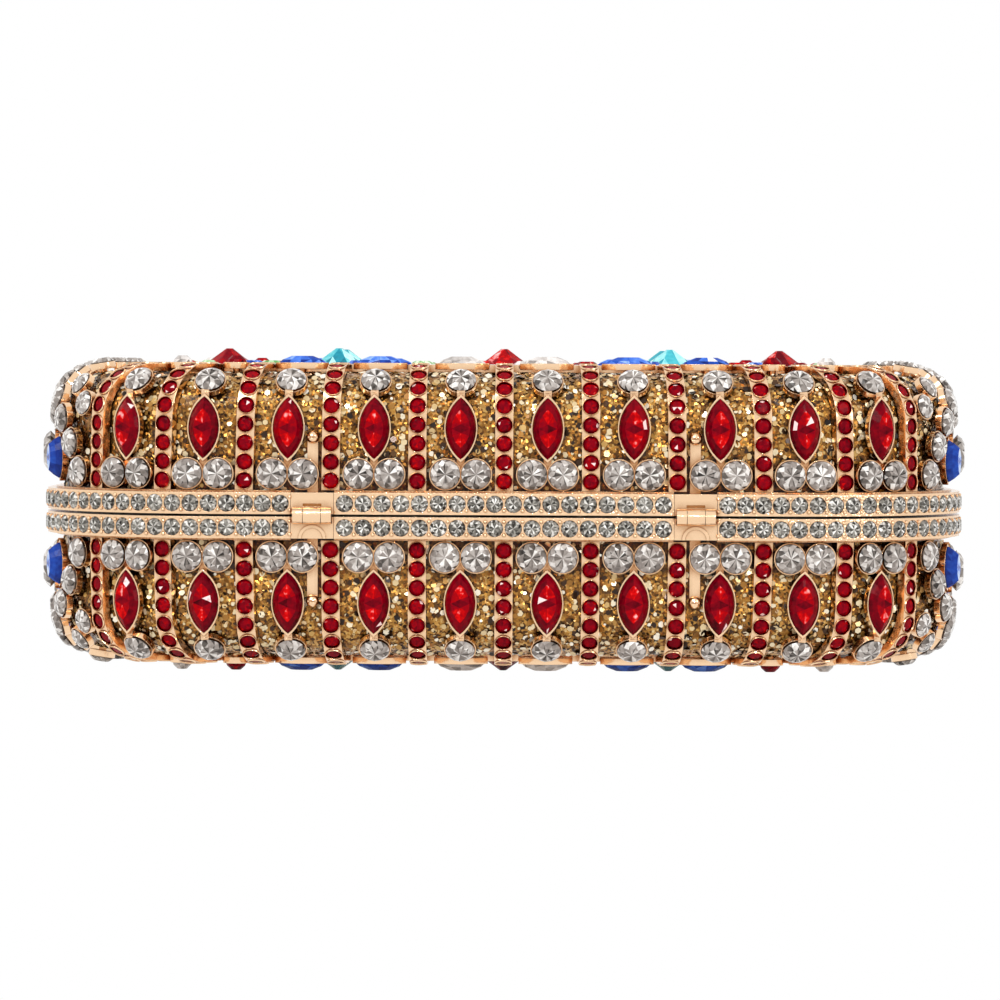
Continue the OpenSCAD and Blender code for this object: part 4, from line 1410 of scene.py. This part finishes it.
@dataclass
class StoneSet:
    """Every stone of one half shell."""

    shop: Workshop
    half: Half
    plan: Plan = Plan()

    CLAW_LAP = 0.04
    CLAW_RISE = 0.32
    BEAD_R = 0.42
    BEAD_SHARE = 0.8

    EDGES = (Group("edge_sapphires", SAPPHIRE, (1, 2)),
             Group("edge_rubies", RUBY, (3,)),
             Group("edge_crystals", LIT_FACE_CLEAR, (0, 4)))
    POINTS = (Group("ruby_points", RUBY, (0, 2)),
              Group("aqua_points", AQUA, (1,)))
    PETALS = (Group("crystal_petals", LIT_FACE_CLEAR, ((0, 0),)),
              Group("sapphire_petals", SAPPHIRE, ((1, 0), (1, 1))),
              Group("ruby_petals", RUBY, ((0, 1), (2, 0))),
              Group("peridot_petals", PERIDOT, ((2, 1),)))
    SMALLS = (Group("face_crystals", LIT_FACE_CLEAR, (-2, 2)),
              Group("face_peridots", PERIDOT, (-3, -1)),
              Group("face_rubies", RUBY, (1, 3)),
              Group("face_sapphires", SAPPHIRE, (-4, 4)))

    def set_all(self) -> None:
        """Sets the stones of the half's ribs, rim, bays, ends and face."""
        self.set_metal()
        self.set_ribs_and_rim()
        self.set_bays()
        self.set_ends()
        self.set_face()

    def set_metal(self) -> None:
        """Sets the rings that clasp the rib rubies and the beads between the rim crystals."""
        plan = self.plan
        ring = claw_ring(plan.rib_stone_r - self.CLAW_LAP, plan.rib_w / 2, self.CLAW_RISE)
        seats = alike(ring, (m @ moved(0, 0, plan.rib_seat_d) for m in plan.rib_places()))
        bead = small_bead(self.BEAD_R)
        aside = plan.rim_stone_r * self.BEAD_SHARE
        girdle_z = plan.rim_stone_r * plan.PAVILION_SHARE
        for m in plan.rim_places(self.half is Half.BACK):
            for up in (-1, 1):
                seats.append((bead, m @ moved(plan.rim_pitch / 2, up * aside, girdle_z)))
        self.shop.set_stones(f"{self.half.prefix}_claws", self.half, seats, GOLD)

    def put(self, name: str, finish: CutGlass, seats: Seats, node: str = "") -> None:
        """Sets one piece of stones.

        Args:
            name: The piece's name, less the half's.
            finish: Its glass.
            seats: Each stone's cut and its place.
            node: The name of the node that it stands for, where that isn't the piece's own.
        """
        prefix = self.half.prefix
        self.shop.set_stones(f"{prefix}_{name}_cut", self.half, seats, finish,
                             f"{prefix}_{node or name}")

    def put_groups(self, groups: tuple[Group, ...], node: str,
                   seats: list[tuple[object, Cut, Matrix]]) -> None:
        """Sets the stones of one node as several pieces, a glass to each.

        Args:
            groups: The pieces.
            node: The name of the node that they stand for, less the half's.
            seats: Each stone's kind, its cut and its place.
        """
        for group in groups:
            own = [(cut, m) for kind, cut, m in seats if kind in group.kinds]
            self.put(group.name, group.finish, own, node)

    def set_ribs_and_rim(self) -> None:
        """Sets the ribs' rubies and the rim's crystals."""
        plan = self.plan
        rim = plan.rim_places(self.half is Half.BACK)
        self.put("rib_rubies", RUBY, alike(round_cut(plan.rib_stone_r, False), plan.rib_places()))
        self.put("rim_crystals", SHADED_RIM_CLEAR, alike(round_cut(plan.rim_stone_r, True), rim))

    def set_bays(self) -> None:
        """Sets the stones of the bays between the ribs."""
        plan = self.plan
        chaton = round_cut(plan.chaton_r, True)
        pair_gap = plan.chaton_r + plan.bezel_t / 2
        rise = plan.chaton_r * plan.CROWN_TOP_SHARE
        row = [(chaton, m) for x in (-pair_gap, pair_gap)
               for _, m in plan.bay_places(plan.pair_h, x)]
        self.put("row_crystals", CLEAR, row)
        navette = oval_cut(plan.navette_l, plan.navette_w, rise, 8, False)
        upright = (m @ turned(90, "Z") for _, m in plan.bay_places(plan.navette_h))
        self.put("ruby_navettes", RUBY, alike(navette, upright))
        shoulder = alike(chaton, (m for _, m in plan.bay_places(plan.shoulder_t)))
        shoulder += alike(round_cut(plan.small_stone_r, True), plan.share_places(plan.spandrels))
        self.put("shoulder_crystals", CLEAR, shoulder)
        long, short = (oval_cut(l, plan.edge_w, rise, 6) for l in (plan.edge_l, plan.corner_l))
        shifts = (0.0, 0.0, 0.0, -plan.bend_shift, -plan.corner_shift)
        edges = [(k, short if shift else long, m) for k, shift in enumerate(shifts)
                 for number, m in plan.bay_places(plan.edge_t, shift) if number == k]
        self.put_groups(self.EDGES, "edge_stones", edges)

    def set_ends(self) -> None:
        """Sets the arch, the flower and the flanking stones of both ends."""
        plan = self.plan
        arch = alike(round_cut(plan.chaton_r, True), plan.arch_places())
        self.put("arch_crystals", CLEAR, arch)
        petal_rise = plan.end_stone_r * plan.PAVILION_SHARE
        tall_rise = plan.end_stone_r * plan.CROWN_TOP_SHARE
        petal = oval_cut(plan.end_petal_l, plan.end_petal_w, petal_rise, 6)
        tall = oval_cut(plan.side_oval_l, plan.side_oval_w, tall_rise, 8, False)
        blue = alike(petal, plan.end_petal_places()) + alike(tall, plan.side_oval_places())
        self.put("end_sapphires", SAPPHIRE, blue)
        clear = alike(round_cut(plan.end_stone_r, True), plan.large_places())
        clear += alike(round_cut(plan.small_stone_r, True), plan.share_places(plan.flanks))
        self.put("end_crystals", CLEAR, clear)

    def set_face(self) -> None:
        """Sets the flowers, the small stones and the border of the face."""
        plan = self.plan
        pointed = pointed_cut(plan.rivoli_r, plan.skin.parting_z - plan.panel_seat)
        self.put_groups(self.POINTS, "rivolis",
                        [(kind, pointed, m) for kind, m in plan.flower_places()])
        petal = oval_cut(plan.petal_l - 2 * plan.fit, plan.petal_w - 2 * plan.fit,
                         plan.rib_t + plan.bezel_t, 6)
        self.put_groups(self.PETALS, "petals",
                        [((kind, k % 2), petal, m) for kind, k, m in plan.petal_places()])
        small = round_cut(plan.small_stone_r, True)
        self.put_groups(self.SMALLS, "face_crystals",
                        [(kind, small, m) for kind, m in plan.small_places()])
        border = alike(round_cut(plan.border_stone_r, False), plan.border_places())
        self.put("border_crystals", LIT_FACE_CLEAR, border)


@dataclass
class GlitterBox:
    """The large loose flakes on one half's glitter box, in millimetres and degrees."""

    shop: Workshop
    half: Half
    plan: Plan = Plan()
    count: int = 9000
    inset: float = 1.9

    SEED = 11
    FOOT_T = 5.0
    LEAN = 24
    LIFTS = (0.05, 0.22)
    SIZES = (0.32, 0.44, 0.58, 0.7)

    def scatter(self) -> None:
        """Scatters flakes over the box, lying at small angles to it."""
        skin = self.plan.skin
        draw = random.Random(self.SEED + self.half.up)
        flakes = Facets()
        lift = skin.half(self.half)
        for _ in range(self.count):
            s = draw.uniform(-skin.end_s, skin.end_s)
            t = draw.uniform(self.FOOT_T, self.plan.rib_end_t)
            side = MIRROR_Y if draw.random() < 0.5 else AS_DRAWN
            self.flake(draw, lift @ side @ skin.on_skin(s, t), flakes)
        inner_x, inner_y = self.plan.inner
        for _ in range(self.count // 2):
            x = draw.uniform(-inner_x, inner_x)
            y = draw.uniform(-inner_y, inner_y)
            self.flake(draw, lift @ moved(x, y, skin.face_h), flakes)
        name = f"{self.half.prefix}_glitter_flakes"
        piece = self.shop.piece(name, self.half, flakes, FLAKES)
        log.info("%s: %d flakes", name, len(flakes.faces))

    def flake(self, draw: random.Random, at: Matrix, flakes: Facets) -> None:
        """Adds one six-sided flake.

        Args:
            draw: The random order.
            at: A place on the skin, which the flake lies under.
            flakes: What it is added to.
        """
        lean = Euler((math.radians(draw.uniform(-self.LEAN, self.LEAN)),
                      math.radians(draw.uniform(-self.LEAN, self.LEAN)),
                      draw.uniform(0, math.tau))).to_matrix().to_4x4()
        depth = -self.inset + draw.uniform(*self.LIFTS)
        place = Matrix.Scale(MM, 4) @ at @ moved(0, 0, depth) @ lean
        corners = [Vector((x, y, 0)) for x, y in circle(draw.choice(self.SIZES), 6)]
        flakes.add(place, corners, [tuple(range(6))], [draw.random()])


class Dresser:
    """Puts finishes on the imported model's own pieces."""

    SMOOTH_ANGLE = 30
    FINISHES = {"box": Glitter("gold_glitter"),
                "lining": Satin("lining_satin"),
                "pin": CastGold("pin_plate", roughness=0.3),
                "tongue": Steel("spring_steel"),
                "keeper": Steel("spring_steel"),
                "rim": CastGold("rim_gold", beads=0.55)}

    def __init__(self, shop: Workshop, nodes: dict[str, bpy.types.Object]) -> None:
        """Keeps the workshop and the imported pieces."""
        self.shop = shop
        self.nodes = nodes

    def dress(self) -> None:
        """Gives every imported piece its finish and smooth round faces."""
        for name, node in self.nodes.items():
            words = name.split("_")
            finish = next((f for word, f in self.FINISHES.items() if word in words), GOLD)
            node.data.materials.clear()
            node.data.materials.append(self.shop.material(finish))
            node.data.shade_smooth()
            node.data.set_sharp_from_angle(angle=math.radians(self.SMOOTH_ANGLE))
            log.info("%s: %s", name, finish.name)


@dataclass(frozen=True)
class TableTop(Finish):
    """A table that is white to the eye and in reflections, and throws light up at the object."""

    # A painted pool of light: pale paint near the object, dark farther out.
    stops: Stops = ((0.25, (0.8, 0.8, 0.8)), (0.6, (0.10, 0.09, 0.08)))

    def shader(self, tree: NodeTree) -> bpy.types.Node:
        """Adds the table: a painted pool of light, pale near the object, and white where it is seen.

        Args:
            tree: The material's nodes.

        Returns:
            The shader.
        """
        far = tree.add("ShaderNodeVectorMath", operation="LENGTH", in_0=tree.where())
        colour = tree.ramp(far.outputs["Value"], self.stops)
        paint = tree.add("ShaderNodeBsdfDiffuse", in_Color=colour)
        glow = tree.add("ShaderNodeEmission", in_Strength=1.0)
        return tree.add("ShaderNodeMixShader", in_0=seen(tree), in_1=paint.outputs[0],
                        in_2=glow.outputs[0])


def seen(tree: NodeTree) -> bpy.types.NodeSocket:
    """Finds the rays that show the background: to the eye, in gloss and through glass.

    Args:
        tree: The nodes of the material or the world.

    Returns:
        1 for those rays, 0 for the rest.
    """
    rays = tree.add("ShaderNodeLightPath").outputs
    direct = tree.math("MAXIMUM", rays["Is Camera Ray"], rays["Is Transmission Ray"])
    return tree.math("MAXIMUM", direct, rays["Is Glossy Ray"])


@dataclass(frozen=True)
class Lamp:
    """A square lamp: where it hangs and its side in metres, and its power in watts."""

    name: str
    place: tuple[float, float, float]
    size: float
    power: float

    def hang(self, target: Vector) -> None:
        """Adds the lamp to the scene.

        Args:
            target: The place that it is turned to, in metres.
        """
        data = bpy.data.lights.new(self.name, "AREA")
        data.size = self.size
        data.energy = self.power
        lamp = new_object(self.name, data)
        lamp.location = self.place
        aim = target - Vector(self.place)
        lamp.rotation_euler = aim.to_track_quat("-Z", "Y").to_euler()


@dataclass
class Studio:
    """A white table and background, soft light and the photograph's camera.

    The camera's distance and height are in millimetres, its roll in degrees, and pitch_px and
    middle_px are in the photograph's pixels.
    """

    plan: Plan = Plan()
    distance: float = 800.0
    height: float = 28.0
    lens_share: float = 3.92
    sensor: float = 36.0
    pitch_px: float = 16.5
    roll: float = 0.27
    middle_px: float = 504.0

    ROOM = ((0.3, (0.40, 0.39, 0.38)), (0.44, (0.11, 0.08, 0.06)), (0.54, (0.42, 0.37, 0.33)),
            (0.66, (1.15, 1.15, 1.15)), (0.95, (0.7, 0.7, 0.72)))
    PATCH_SCALE = 4.0
    PATCH_SHARE = 0.45
    FLOOR_REACH = 6.0
    LAMPS = (Lamp("key", (-0.35, -0.75, 0.75), 0.5, 4.5),
             Lamp("fill", (0.7, -0.6, 0.35), 0.4, 1.6),
             Lamp("glint", (0.15, -0.9, 0.42), 0.05, 1.2))

    def build(self) -> None:
        """Makes the world, the floor, the lamps and the camera."""
        self.world()
        self.floor()
        for lamp in self.LAMPS:
            lamp.hang(Vector((0, 0, self.plan.skin.parting_z * MM)))
        self.camera()
        bpy.context.scene.view_settings.view_transform = "Standard"

    def world(self) -> None:
        """White to the eye and in reflections; to the rest a bright sky over a darker room."""
        world = bpy.data.worlds.new("studio")
        world.use_nodes = True
        bpy.context.scene.world = world
        tree = NodeTree(world.node_tree)
        way = tree.add("ShaderNodeTexCoord").outputs["Generated"]
        split = tree.add("ShaderNodeSeparateXYZ", in_Vector=way)
        patches = tree.math("SUBTRACT", tree.noise(way, self.PATCH_SCALE, 1.0), 0.5)
        height = tree.math("ADD", tree.line(split.outputs["Z"], 0.5, 0.5),
                           tree.math("MULTIPLY", patches, self.PATCH_SHARE))
        sky = tree.add("ShaderNodeMix", data_type="RGBA", in_0=seen(tree),
                       in_6=tree.ramp(height, self.ROOM), in_7=(1, 1, 1, 1))
        light = tree.add("ShaderNodeBackground", in_Color=sky.outputs[2], in_Strength=1.0)
        tree.add("ShaderNodeOutputWorld", in_Surface=light.outputs[0])

    def floor(self) -> None:
        """Lays the table under the object."""
        mesh = bpy.data.meshes.new("floor")
        reach = self.FLOOR_REACH
        corners = [(-reach, -reach, 0), (reach, -reach, 0), (reach, reach, 0), (-reach, reach, 0)]
        mesh.from_pydata(corners, [], [(0, 1, 2, 3)])
        floor = new_object("floor", mesh)
        mesh.materials.append(TableTop("white_table").material())

    def camera(self) -> None:
        """Puts the camera where the photograph was taken from."""
        data = bpy.data.cameras.new("photo_camera")
        data.sensor_width = self.sensor
        data.lens = self.sensor * self.lens_share
        data.clip_start = 0.01
        camera = new_object("photo_camera", data)
        skin = self.plan.skin
        near_y = -skin.body_d / 2 - self.plan.rim_out
        focal_px = self.lens_share * IMAGE_PX
        down = math.atan2(self.height, self.distance) - math.atan2(self.pitch_px, focal_px)
        slide = (self.middle_px - IMAGE_PX / 2) * self.distance / focal_px
        place = Vector((-slide, near_y - self.distance, skin.parting_z + self.height))
        turn = turned(90 - math.degrees(down), "X") @ turned(self.roll, "Z")
        camera.location = place * MM
        camera.rotation_euler = turn.to_euler()
        bpy.context.scene.camera = camera


def main() -> None:
    """Builds the dressed bag and its studio."""
    logging.basicConfig(level=logging.INFO, format="%(name)s: %(message)s")
    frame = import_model()
    shop = Workshop()
    Dresser(shop, frame["nodes"]).dress()
    for half in Half:
        StoneSet(shop, half).set_all()
        GlitterBox(shop, half).scatter()
    Studio().build()


if __name__ == "__main__":
    main()
